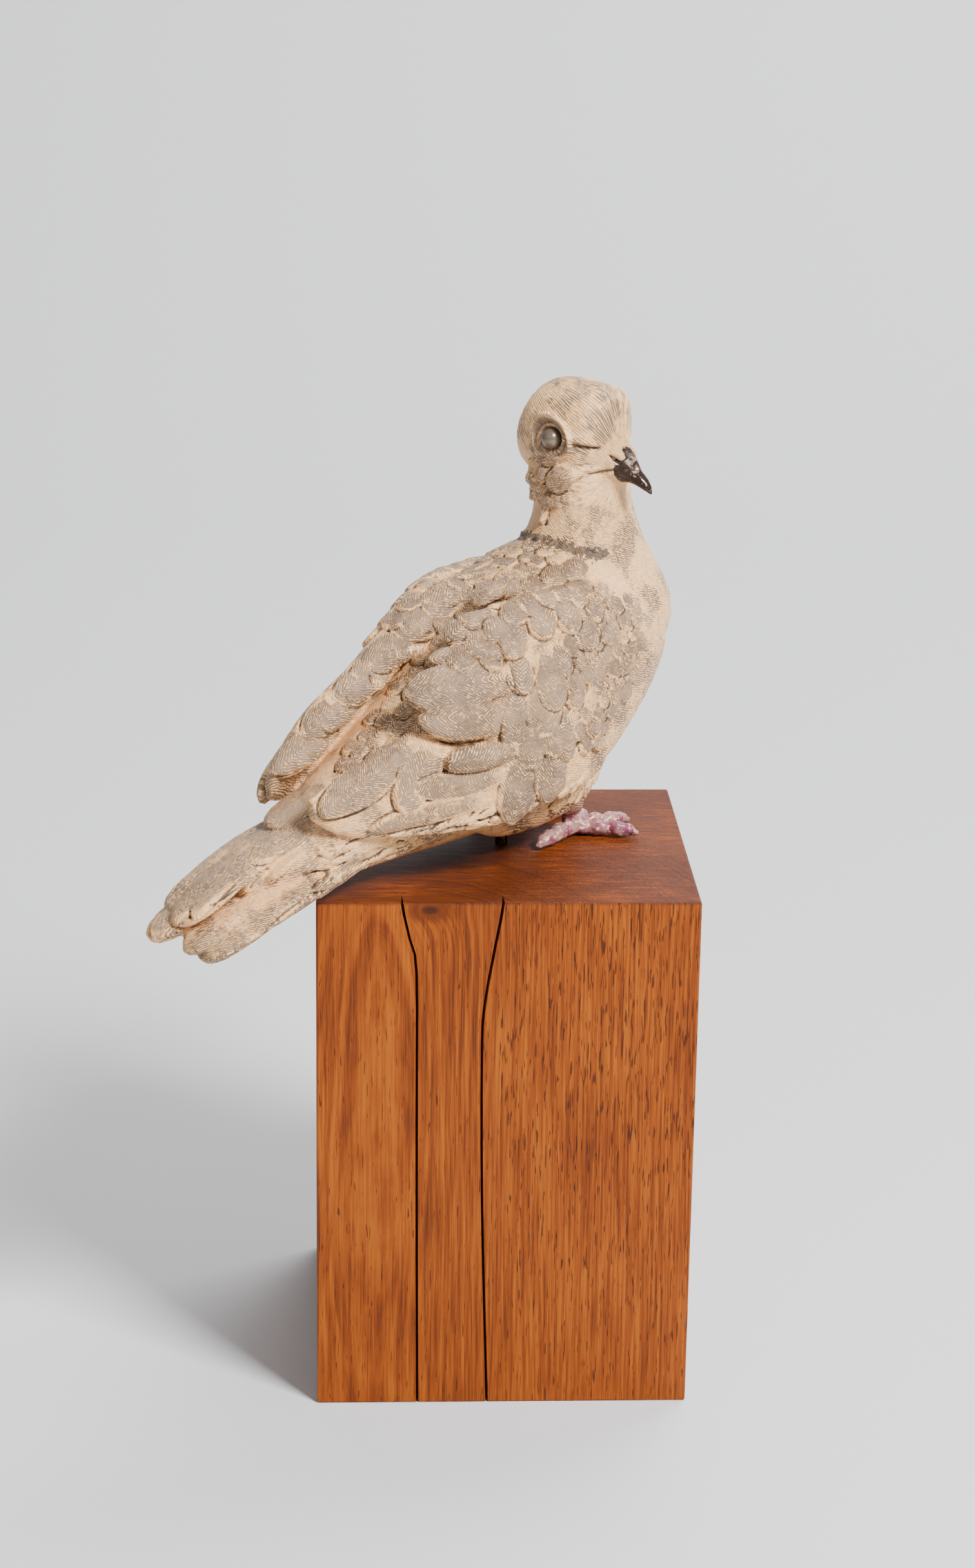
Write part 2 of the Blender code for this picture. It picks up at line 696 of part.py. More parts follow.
def shake_cutter(number, path):
    """A wedge that runs down the block's front and a little way into its top."""
    rings = []
    rows = eased(path, 3)
    past = 0.002
    front = -BLOCK_DEPTH / 2
    for i, (share, across) in enumerate(rows):
        deep = SHAKE_DEPTH + (SHAKE_DEPTH_ON_TOP - SHAKE_DEPTH) * max(0.0, (share - 0.9) / 0.1)
        z = share * BLOCK_HEIGHT + past * ((i == 0) - (i == len(rows) - 1))
        x = (across - 0.5) * BLOCK_WIDTH
        half = SHAKE_WIDTH / 2 * (deep + past) / deep
        rings.append(((x - half, front - past, z), (x + half, front - past, z), (x, front + deep, z)))
    points, faces = skin(np.array(rings))
    mesh = bpy.data.meshes.new("shake_cutter")
    mesh.from_pydata(points.tolist(), [], faces)
    form = bmesh.new()
    form.from_mesh(mesh)
    bmesh.ops.recalc_face_normals(form, faces=form.faces)
    form.to_mesh(mesh)
    form.free()
    cutter = placed(f"shake_cutter_{number}", mesh)
    cutter.hide_render = True
    cutter.display_type = "WIRE"
    return cutter


def lowest_above(bird, radius):
    """The lowest height of the bird over a circle about the block's middle."""
    mesh = bird.data
    tree = BVHTree.FromPolygons(points_of(mesh).tolist(), [face.vertices for face in mesh.polygons])
    heights = []
    for spoke in range(24):
        turn = spoke * math.tau / 24
        for share in (0.0, 0.5, 1.0):
            reach = share * radius
            start = Vector((reach * math.cos(turn), reach * math.sin(turn), BLOCK_HEIGHT))
            place, _, _, _ = tree.ray_cast(start, Vector((0, 0, 1)))
            heights.append(place.z)
    return min(heights)


def rod(bird, finish):
    """The upright rod from the block's top to the dove's underside."""
    foot = BLOCK_HEIGHT + SEAT_GAP
    top = lowest_above(bird, 0.6 * ROD_DIAMETER) - SEAT_GAP
    form = bmesh.new()
    radius = ROD_DIAMETER / 2
    bmesh.ops.create_cone(form, cap_ends=True, segments=24, radius1=radius, radius2=radius, depth=top - foot)
    bmesh.ops.translate(form, vec=(0, 0, (top + foot) / 2), verts=form.verts)
    mesh = bpy.data.meshes.new("support_rod")
    form.to_mesh(mesh)
    form.free()
    mesh.shade_smooth()
    mesh.set_sharp_from_angle(angle=math.radians(40))
    return placed("support_rod", mesh, finish)


def main():
    """Builds the statue."""
    clear_scene()
    block(material("oiled_wood", (0.40, 0.12, 0.03), 0.45))
    bird = dove(material("painted_bronze", (0.56, 0.44, 0.33), 0.5))
    rod(bird, material("dark_bronze", (0.16, 0.09, 0.05), 0.35, 1.0))


main()
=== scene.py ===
"""The looks of a dove statue: a carved and painted dove, its oiled block of wood and its rod."""

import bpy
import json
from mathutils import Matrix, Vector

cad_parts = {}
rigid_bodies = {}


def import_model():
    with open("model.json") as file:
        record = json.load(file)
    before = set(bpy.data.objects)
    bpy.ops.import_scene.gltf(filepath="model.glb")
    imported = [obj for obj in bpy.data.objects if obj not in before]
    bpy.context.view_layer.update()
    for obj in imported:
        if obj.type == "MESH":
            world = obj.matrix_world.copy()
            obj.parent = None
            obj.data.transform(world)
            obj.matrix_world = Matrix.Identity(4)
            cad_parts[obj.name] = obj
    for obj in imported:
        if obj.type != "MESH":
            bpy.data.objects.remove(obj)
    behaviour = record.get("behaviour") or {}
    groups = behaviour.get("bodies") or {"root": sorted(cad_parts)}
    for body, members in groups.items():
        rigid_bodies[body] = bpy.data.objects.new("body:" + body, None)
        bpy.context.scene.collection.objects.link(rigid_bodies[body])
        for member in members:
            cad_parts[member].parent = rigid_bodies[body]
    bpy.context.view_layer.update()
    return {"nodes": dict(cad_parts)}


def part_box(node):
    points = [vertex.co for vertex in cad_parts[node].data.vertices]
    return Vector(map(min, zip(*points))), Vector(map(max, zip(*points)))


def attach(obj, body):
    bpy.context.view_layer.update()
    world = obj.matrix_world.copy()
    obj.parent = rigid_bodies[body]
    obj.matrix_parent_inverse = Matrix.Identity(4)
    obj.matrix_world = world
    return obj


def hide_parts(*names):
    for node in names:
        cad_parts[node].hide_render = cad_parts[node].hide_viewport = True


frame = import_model()

import json
import logging
import math
from dataclasses import dataclass
from enum import Enum

import bmesh
import bpy
import numpy as np
from mathutils import Matrix, Vector, noise
from mathutils.bvhtree import BVHTree
from mathutils.kdtree import KDTree

LOG = logging.getLogger("dove_statue")
MILLIMETRE = 0.001

Shape = tuple[np.ndarray, list[tuple[int, ...]]]
Row = tuple[float, ...]
Point = tuple[float, float, float]


class Side(Enum):
    """A side of the dove, by the sign of its Y axis."""

    LEFT = 1
    RIGHT = -1


class TipForm(Enum):
    """How a feather ends: the power of the curve that closes its tip."""

    BLUNT = 5.0
    POINTED = 2.4


class Grain(Enum):
    """What the comb lines of a part of the surface follow."""

    HEAD = -1
    NECK = -2
    BODY = -3


# The trunk, at each place along it: top, bottom, half its width and how much its belly narrows
TRUNK = (
    (48.5, 79, 70, 4, 0),
    (46, 89, 60, 13, 0.1),
    (40, 97, 52.5, 19, 0.3),
    (30, 103, 44, 26, 0.5),
    (15, 107, 33, 31, 0.6),
    (0, 107, 22.5, 33, 0.6),
    (-15, 103, 13, 34, 0.4),
    (-30, 95, 9, 33.5, 0.15),
    (-45, 84, 7.5, 31, 0.05),
    (-65, 67, 6.5, 26, 0),
    (-88, 49, 5.5, 21, 0),
    (-105, 36, 4.5, 18, 0),
    (-117, 28, 4.5, 15, 0),
    (-130, 20, 5, 11, 0),
    (-143, 13, 6, 7, 0),
)

# The neck, at each height: its middle, and half its length and width
NECK = (
    (78, 13, 33, 29),
    (90, 13.5, 30.5, 26),
    (98, 14, 26.5, 23),
    (106, 14.5, 22, 19.5),
    (114, 14.5, 18.5, 17.5),
    (122, 13.5, 17.3, 16.5),
    (132, 12, 16.5, 15.5),
)

# The head in its own frame, from the back forwards: top, bottom, half its width and its narrowing
HEAD = (
    (-21.3, 3, -4, 4, 0),
    (-20, 9, -12, 9.5, 0),
    (-16.5, 14, -17, 12.8, 0),
    (-10, 17.8, -19.5, 15.2, 0),
    (-3, 19.6, -18.5, 16.3, 0),
    (4, 21.2, -17, 16.3, 0),
    (8.5, 20.2, -15.2, 15, 0),
    (11.6, 16.2, -13.4, 12.6, 0),
    (13.6, 11.6, -11.8, 10.2, 0),
    (16.2, 7.0, -10.4, 8.2, 0),
    (19.4, 3, -8.8, 6.6, 0),
    (22.5, 0.5, -7.4, 5, 0),
)

# The bill in the head's frame, from its root to its tip
BILL = (
    (16, 1, -7.4, 5, 0),
    (19.5, 2.6, -7.2, 5, 0),
    (22.8, 2.4, -6.8, 4.4, 0),
    (25.6, 0, -6.2, 3.1, 0),
    (29.5, -1.8, -6.4, 2.7, 0),
    (33, -3.8, -7.4, 2.0, 0),
    (35.2, -6.0, -8.2, 0.8, 0),
)

# The eye, its almond socket and the rounded lumps of the head, in its frame: middle and radius
EYE_AT, EYE_RADIUS = (-2.6, 15.1, 0.0), 3.6
SOCKET_AT, SOCKET_SIZE = (-3.4, 0.2), (7.8, 6.3)
HEAD_LUMPS = (
    (EYE_AT, EYE_RADIUS),
    ((-4.5, 12.6, -18.2), 4.3),
    ((-1.0, 9.8, -13.0), 4.6),
    ((4.6, 8.6, -12.0), 5.0),
    ((4.0, 8.0, -18.5), 4.4),
    ((18.4, 3.2, 0.9), 2.6),
)

# Creases of the face, in the head's frame: where each starts and ends, how wide and how deep
CREASES = (
    ((5.2, 1.7), (14.8, 3.5), 0.7, 1.3),
    ((12.2, -7.4), (21.0, -2.0), 0.6, 1.0),
    ((8.6, -14.6), (13.2, -6.8), 0.7, 1.0),
    ((20.0, -4.2), (33.5, -6.0), 0.4, 0.6),
    ((16.2, 1.9), (20.8, 0.2), 0.5, 1.1),
)

# Tufts and folds of the cheek and the lids, in the head's frame: the place along and up, the way
# the tip points, the length and width, how far the tip stands up and how grey it is
FACE_TUFTS = (
    (-1.1, -12.8, -100, 7.0, 5.6, 2.3, 0.9),
    (6.6, -10.6, -132, 12.5, 9.6, 2.5, 0.5),
    (9.6, -17.0, -165, 10.0, 4.4, 1.6, 0.2),
    (5.9, -20.6, -158, 12.0, 5.2, 2.4, 0.5),
    (4.6, -25.5, -80, 9.0, 3.6, 2.2, 0.4),
    (-0.1, -19.0, -80, 8.0, 6.0, 2.1, 0.3),
    (-8.0, -18.2, -150, 8.0, 6.4, 2.3, 0.1),
    (-5.0, -23.0, -110, 7.5, 5.0, 2.0, 0.3),
    (-7.0, -12.5, -120, 7.0, 4.6, 1.4, 0.1),
    (0.4, -7.4, -145, 8.5, 3.6, 1.5, 0.8),
    (-8.3, -3.2, -70, 6.0, 3.8, 1.2, 0.8),
)

# The folded wing, at each place along it: how far out, how high, half its height and half its
# thickness, and how far its top leans in. Behind the shoulder the left and right wings differ.
WING = (
    (30, 22, 71, 9, 5, 4),
    (18, 25.5, 70, 19, 7.5, 4),
    (0, 28, 66, 28.5, 9, 7),
    (-20, 29, 61.5, 34.5, 10, 10),
    (-40, 28, 59.5, 35, 9.5, 14),
    (-50, 26.5, 56, 35, 9, 15),
)
WING_ENDS = {
    Side.LEFT: (
        (-60, 25, 51.5, 33, 8.5, 16),
        (-80, 21, 46, 26, 7, 18),
        (-100, 17.5, 42.5, 18, 5, 18),
        (-112, 15, 38, 10.5, 3.6, 18),
        (-118, 13, 35, 4, 2.2, 18),
    ),
    Side.RIGHT: (
        (-60, 25, 48, 28, 8.5, 16),
        (-72, 23, 41, 21, 7.5, 17),
        (-84, 21, 37, 16, 6.5, 18),
        (-100, 17.5, 33.5, 12, 5, 18),
        (-113, 14.5, 33, 8, 3.6, 18),
        (-121, 13, 34, 3.5, 2.2, 18),
    ),
}

# The feathered thigh, at each place along it, the leg's tuft and shank, and how far out they are
THIGH = (
    (5.5, 32, 26, 3, 0),
    (1, 42, 19, 8, 0),
    (-8, 50, 12, 11.5, 0),
    (-26, 46, 9, 13, 0),
    (-42, 38, 9, 10, 0),
    (-54, 28, 14, 4, 0),
)
THIGH_OUT, FOOT_OUT, TOE_REACH = 16.0, 13.0, 27.0
SHANK = ((-3, 16, 3.2), (-1.5, 9, 3.1), (0, 3.4, 3.8))
THIGH_TUFT = ((-4, 36, 13), (-4, 24, 9.5), (-3, 15, 6.4), (-2.5, 9.5, 4.8))

# The way and length of each toe of the right foot, and the height and radius along a toe
TOES = ((-10, 24.5), (-49, 23.6), (33, 17.6), (-166, 23.6))
TOE = (
    (0, 3.4, 3.4),
    (0.16, 3.1, 3.0),
    (0.24, 2.5, 2.4),
    (0.36, 3.3, 3.2),
    (0.46, 3.0, 2.9),
    (0.54, 2.4, 2.3),
    (0.66, 3.0, 2.9),
    (0.76, 2.5, 2.4),
    (0.84, 2.6, 2.4),
    (0.90, 2.0, 1.7),
    (1.0, 1.3, 1.0),
)

# Long feathers that stand free at their edges: base, tip, width, thickness, bank and arch
TAIL_FEATHERS = (
    ((-96, 8, 21), (-170.5, 10, -6), 20, 6.5, 0.0, 1.5),
    ((-98, 1, 18), (-161.5, 1, -4.5), 13, 6, 0.0, 1.5),
    ((-92, -8, 16), (-162.5, -9, -8.5), 20, 7, 0.15, 1.5),
    ((-98, -3, 17), (-166, -3.5, -6.5), 17, 6, 0.05, 1.5),
    ((-84, -11, 16), (-149, -14.5, -1), 9, 6, 0.5, 0.0),
    ((-104, 10, 26), (-161, 12, 2), 14, 4, -0.1, 1.5),
    ((-104, 1, 29), (-165, 2, 0), 21, 5, 0.1, 2.0),
    ((-100, -5, 26), (-137, -8, 11), 13, 4, 0.3, 1.5),
    ((-92, -11, 25), (-118, -12.5, 14), 12, 4, 0.45, 1.0),
    ((-94, 5, 34), (-124, 4, 24), 17, 4, 0.0, 1.0),
)
WING_TOPS = (
    ((-50, -31, 71), (-84, -18, 67), 17, 5, -1.05, 1.5),
    ((-50, -34, 57), (-81, -22, 60), 15, 5, -1.2, 1.5),
    ((-50, -37, 47), (-76, -29, 46), 7, 4, -1.3, 1.0),
    ((-51, -27, 79), (-71, -15, 76), 9, 4, -0.9, 1.0),
    ((-43, -24, 88), (-63, -13, 83), 11, 4, -0.8, 1.0),
    ((-24, -12, 98), (-45, -6, 90), 10, 4, -0.5, 1.0),
    ((-28, 9, 93), (-52, 10, 84.5), 13, 5, -0.75, 1.5),
    ((-40, 10, 87), (-64, 11, 77), 13, 5, -0.75, 1.5),
    ((-52, 10, 79), (-77, 11, 69), 13, 5, -0.75, 1.5),
    ((-65, 10, 71), (-91, 11, 61), 13, 5, -0.75, 1.5),
    ((-78, 10, 62), (-105, 11, 51), 12, 5, -0.75, 1.5),
    ((-92, 10, 52), (-117, 11, 39.5), 11, 5, -0.75, 1.5),
)

# Carved feathers of the wing's side, front to back: the middle's place and height, the way the
# feather points, its length and width, how far its tip stands up and how grey it is
WING_FEATHERS = (
    (-7, 81, -112, 10, 8, 1.1, 0.7),
    (-10, 89, -112, 10, 7, 1.0, 0.7),
    (-14, 94, -105, 12, 7, 1.0, 0.5),
    (-17, 82, -80, 12, 10, 1.2, 0.8),
    (-18, 51, -92, 10, 8, 1.0, 0.8),
    (-23, 89, -82, 14, 9, 1.3, 0.8),
    (-25, 65, -95, 15, 8, 1.2, 0.6),
    (-29, 75, -95, 12, 9, 1.2, 0.8),
    (-31, 47, -108, 12, 8, 1.2, 0.8),
    (-33, 89, -86, 15, 10, 1.4, 0.9),
    (-34, 52, -120, 19, 13, 1.2, 0.7),
    (-35, 69, -93, 20, 11, 1.6, 0.9),
    (-38, 37, -104, 18, 13, 1.3, 0.8),
    (-39, 61, -92, 20, 13, 1.1, 0.6),
    (-45, 84, -100, 15, 10, 1.4, 1.0),
    (-46, 72, -92, 13, 9, 1.4, 0.9),
    (-46, 51, -94, 20, 11, 1.4, 0.8),
    (-50, 58, -100, 19, 9, 1.2, 0.8),
    (-51, 35, -108, 23, 13, 1.5, 0.7),
    (-54, 79, -104, 11, 8, 1.2, 0.9),
    (-62, 46, -176, 26, 8, 1.4, 0.7),
    (-70, 38, -176, 34, 9, 1.4, 0.6),
    (-80, 30, -176, 44, 7, 1.2, 0.5),
    (-84, 43, -132, 27, 12, 1.4, 0.5),
    (-97, 44, -154, 44, 12, 1.6, 0.6),
)
COVERT_REGION = ((9, 92), (10, 76), (4, 63), (-5, 55), (-14, 44), (-27, 40), (-30, 62), (-20, 96))
COVERT_SIZE = 7.5

# The studio's lights: name, place, what each points at, width and power
LIGHTS = (
    ("key", (0.85, -1.0, 1.5), (0.0, 0.0, 0.22), 0.5, 80.0),
    ("fill", (-1.2, -1.6, 1.3), (0.0, 0.0, 0.2), 1.2, 3.0),
    ("paper_light", (0.9, 1.3, 2.6), (0.4, 2.5, 0.4), 1.6, 98.0),
)


def linear(red: float, green: float, blue: float) -> tuple[float, float, float, float]:
    """Turns a colour as seen on a screen, 0 to 255, into the light that it stands for.

    Args:
        red: The red of the colour.
        green: The green of the colour.
        blue: The blue of the colour.

    Returns:
        The colour and an alpha of 1, as a shader takes it.
    """
    parts = [value / 255 for value in (red, green, blue)]
    return (*(((p + 0.055) / 1.055) ** 2.4 if p > 0.04045 else p / 12.92 for p in parts), 1.0)


def bump(value: np.ndarray, middle: float | np.ndarray, spread: float) -> np.ndarray:
    """Gives a smooth share that is 1 at the middle and falls to 0 over the spread.

    Args:
        value: The values to weigh.
        middle: Where the share is 1.
        spread: How fast it falls.

    Returns:
        One share for each value.
    """
    return np.exp(-(((value - middle) / spread) ** 2))


def about_eye(forth: np.ndarray, up: np.ndarray) -> tuple[np.ndarray, np.ndarray]:
    """Says how far places of the face are from the eye.

    Args:
        forth: How far forward each place is, in the head's frame.
        up: How high each place is.

    Returns:
        How far they are from the eye's middle, and from its socket's in half sizes of the socket.
    """
    far = np.hypot(forth - EYE_AT[0], up - EYE_AT[2])
    almond = np.hypot((forth - SOCKET_AT[0]) / SOCKET_SIZE[0], (up - SOCKET_AT[1]) / SOCKET_SIZE[1])
    return far, almond


def pointing(degrees: float) -> np.ndarray:
    """Gives a direction in the dove's upright middle plane, 0 forwards and -90 down.

    Args:
        degrees: The direction's angle.

    Returns:
        A direction of length 1.
    """
    turn = math.radians(degrees)
    return np.array([math.cos(turn), 0.0, math.sin(turn)])


class Loft:
    """Smooth closed forms, drawn through the rows of a table."""

    @staticmethod
    def eased(rows: tuple[Row, ...] | np.ndarray, steps: int) -> np.ndarray:
        """Draws a smooth curve through the rows of a table.

        Args:
            rows: The rows, each with as many values.
            steps: How many steps lie between two rows.

        Returns:
            The finer table.
        """
        rows = np.array(rows, float)
        padded = np.vstack([2 * rows[0] - rows[1], rows, 2 * rows[-1] - rows[-2]])
        share = np.arange(steps)[:, None] / steps
        parts = []
        for i in range(1, len(padded) - 2):
            a, b, c, d = padded[i - 1 : i + 3]
            bend = (2 * a - 5 * b + 4 * c - d) * share**2 + (3 * b - a - 3 * c + d) * share**3
            parts.append(0.5 * (2 * b + (c - a) * share + bend))
        return np.vstack(parts + [rows[-1:]])

    @staticmethod
    def skin(rings: np.ndarray) -> Shape:
        """Closes a form through rings of equally many points.

        Args:
            rings: The rings, from one end to the other.

        Returns:
            The form's points and faces.
        """
        count, around, _ = rings.shape
        ends = np.array([rings[0].mean(axis=0), rings[-1].mean(axis=0)])
        points = np.vstack([rings.reshape(-1, 3), ends])
        first, last = count * around, count * around + 1
        faces: list[tuple[int, ...]] = []
        for j in range(around):
            k = (j + 1) % around
            faces.append((first, k, j))
            faces.append((last, first - around + j, first - around + k))
            for i in range(0, first - around, around):
                faces.append((i + j, i + k, i + around + k, i + around + j))
        return points, faces

    @staticmethod
    def rounds(
        middles: np.ndarray, sides: np.ndarray, ups: np.ndarray, around: int = 64, fullness: float = 2.0
    ) -> np.ndarray:
        """Lays rings about the middles.

        Args:
            middles: The middle of each ring.
            sides: A vector from each middle to the ring's side.
            ups: A vector from each middle to the ring's top.
            around: How many points a ring has.
            fullness: 2 for an ellipse, more for a squarer ring.

        Returns:
            The rings.
        """
        turn = np.arange(around) * (2 * math.pi / around)
        across = np.sign(np.cos(turn)) * np.abs(np.cos(turn)) ** (2 / fullness)
        upward = np.sign(np.sin(turn)) * np.abs(np.sin(turn)) ** (2 / fullness)
        return middles[:, None] + across[:, None] * sides[:, None] + upward[:, None] * ups[:, None]

    @classmethod
    def along_x(cls, table: tuple[Row, ...], fullness: float = 2.0) -> Shape:
        """Makes a form that runs along X.

        Args:
            table: Rows of the place, the top, the bottom, half the width and a narrowing.
            fullness: 2 for round sections, more for squarer ones.

        Returns:
            The form's points and faces.
        """
        x, top, bottom, half, narrow = cls.eased(table, 7).T
        still = np.zeros_like(x)
        middles = np.stack([x, still, (top + bottom) / 2], axis=1)
        sides = np.stack([still, half, still], axis=1)
        ups = np.stack([still, still, (top - bottom) / 2], axis=1)
        rings = cls.rounds(middles, sides, ups, fullness=fullness)
        depth = np.clip((middles[:, None, 2] - rings[:, :, 2]) / ups[:, None, 2], 0, 1)
        rings[:, :, 1] *= 1 - narrow[:, None] * depth
        return cls.skin(rings[::-1])

    @classmethod
    def tube(cls, path: list[Point], radii: list[float], around: int = 24) -> Shape:
        """Makes a round limb along a path.

        Args:
            path: The points that the limb follows.
            radii: Its radius at each of them.
            around: How many points a ring has.

        Returns:
            The limb's points and faces.
        """
        rows = cls.eased(np.column_stack([np.array(path, float), radii]), 5)
        middles, widths = rows[:, :3], rows[:, 3:]
        along = np.gradient(middles, axis=0)
        along /= np.linalg.norm(along, axis=1)[:, None]
        helper = np.where(np.abs(along[:, 2:]) > 0.8, [[1.0, 0.0, 0.0]], [[0.0, 0.0, 1.0]])
        sides = np.cross(helper, along)
        sides /= np.linalg.norm(sides, axis=1)[:, None]
        ups = np.cross(along, sides)
        return cls.skin(cls.rounds(middles, sides * widths, ups * widths, around))

    @classmethod
    def ball(cls, middle: Point, radius: float, around: int = 32) -> Shape:
        """Makes a round form.

        Args:
            middle: Its middle.
            radius: Its radius.
            around: How many points go round it.

        Returns:
            The ball's points and faces.
        """
        steps = np.linspace(0.06, math.pi - 0.06, around // 2)
        still = np.zeros_like(steps)
        middles = np.array(middle, float) + np.stack([still, still, -radius * np.cos(steps)], axis=1)
        reach = radius * np.sin(steps)
        sides = np.stack([reach, still, still], axis=1)
        ups = np.stack([still, reach, still], axis=1)
        return cls.skin(cls.rounds(middles, sides, ups, around))

    @staticmethod
    def blade(share: np.ndarray, tip_form: TipForm = TipForm.POINTED) -> np.ndarray:
        """Says how wide a feather is along its length.

        Args:
            share: Places along the feather, 0 at its base and 1 at its tip.
            tip_form: How its tip ends.

        Returns:
            Shares of the feather's full width.
        """
        base = 0.62 + 0.38 * np.clip(share / 0.45, 0, 1)
        tip = np.clip((share - 0.5) / 0.5, 0, 1)
        return base * np.sqrt(np.clip(1 - tip**tip_form.value, 0.0004, 1))

    @classmethod
    def plate(
        cls, base: Point, tip: Point, width: float, thick: float, bank: float, arch: float, tip_form: TipForm
    ) -> Shape:
        """Makes a long feather that stands free at its edges.

        Args:
            base: The middle of its base.
            tip: The point of its tip.
            width: Its full width.
            thick: Its thickness.
            bank: How it is turned about its shaft.
            arch: How far its shaft rises between its ends.
            tip_form: How its tip ends.

        Returns:
            The feather's points and faces.
        """
        start, end = np.array(base, float), np.array(tip, float)
        share = np.concatenate([[0.0, 0.04], np.linspace(0.12, 0.88, 13), [0.94, 0.97, 0.99, 1.0]])
        along = (end - start) / np.linalg.norm(end - start)
        level = np.cross((0.0, 0.0, 1.0), along)
        level /= np.linalg.norm(level)
        upright = np.cross(along, level)
        flat = level * math.cos(bank) + upright * math.sin(bank)
        rise = upright * math.cos(bank) - level * math.sin(bank)
        middles = start + np.outer(share, end - start) + np.outer(arch * np.sin(math.pi * share), rise)
        half = width / 2 * cls.blade(share, tip_form)
        deep = thick / 2 * np.sqrt(cls.blade(share, tip_form))
        return cls.skin(cls.rounds(middles, np.outer(half, flat), np.outer(deep, rise), 28))


class MeshTools:
    """Reads, moves and smooths the points of a mesh."""

    @staticmethod
    def points(mesh: bpy.types.Mesh) -> np.ndarray:
        """Reads the mesh's points."""
        values = np.empty(len(mesh.vertices) * 3)
        mesh.vertices.foreach_get("co", values)
        return values.reshape(-1, 3)

    @staticmethod
    def normals(mesh: bpy.types.Mesh) -> np.ndarray:
        """Reads the direction that the surface faces at each point."""
        values = np.empty(len(mesh.vertices) * 3, np.float32)
        mesh.vertices.foreach_get("normal", values)
        return values.reshape(-1, 3).astype(float)

    @staticmethod
    def move(mesh: bpy.types.Mesh, points: np.ndarray) -> None:
        """Puts the mesh's points in new places."""
        mesh.vertices.foreach_set("co", points.reshape(-1))
        mesh.update()

    @staticmethod
    def edges(mesh: bpy.types.Mesh) -> np.ndarray:
        """Reads the two ends of each edge."""
        values = np.empty(len(mesh.edges) * 2, np.int32)
        mesh.edges.foreach_get("vertices", values)
        return values.reshape(-1, 2)

    @staticmethod
    def spread(edges: np.ndarray, values: np.ndarray, times: int, share: np.ndarray | float) -> np.ndarray:
        """Evens values out over a surface.

        Args:
            edges: The two ends of each edge.
            values: One row of values for each point.
            times: How many times each point moves towards its neighbours.
            share: How far it moves each time.

        Returns:
            The evened values.
        """
        one, other = edges.T
        result = values.astype(float)
        count = np.bincount(edges.ravel(), minlength=len(values))[:, None]
        weight = share if isinstance(share, float) else share[:, None]
        for _ in range(times):
            total = np.empty_like(result)
            for axis in range(result.shape[1]):
                total[:, axis] = np.bincount(one, result[other, axis], len(values))
                total[:, axis] += np.bincount(other, result[one, axis], len(values))
            result += weight * (total / np.maximum(count, 1) - result)
        return result

    @classmethod
    def spread_where(
        cls, edges: np.ndarray, values: np.ndarray, times: int, share: np.ndarray
    ) -> np.ndarray:
        """Evens values out in one region, and leaves the rest as it is.

        Args:
            edges: The two ends of each edge.
            values: One row of values for each point.
            times: How many times each point moves towards its neighbours.
            share: How far each point moves each time, 0 outside the region.

        Returns:
            The evened values.
        """
        inside = share > 0.004
        touched = np.zeros(len(values), bool)
        touched[edges[inside[edges].any(axis=1)].ravel()] = True
        number = np.cumsum(touched) - 1
        kept = edges[touched[edges].all(axis=1)]
        result = values.astype(float)
        weight = np.where(inside, share, 0.0)[touched]
        result[touched] = cls.spread(number[kept], result[touched], times, weight)
        return result


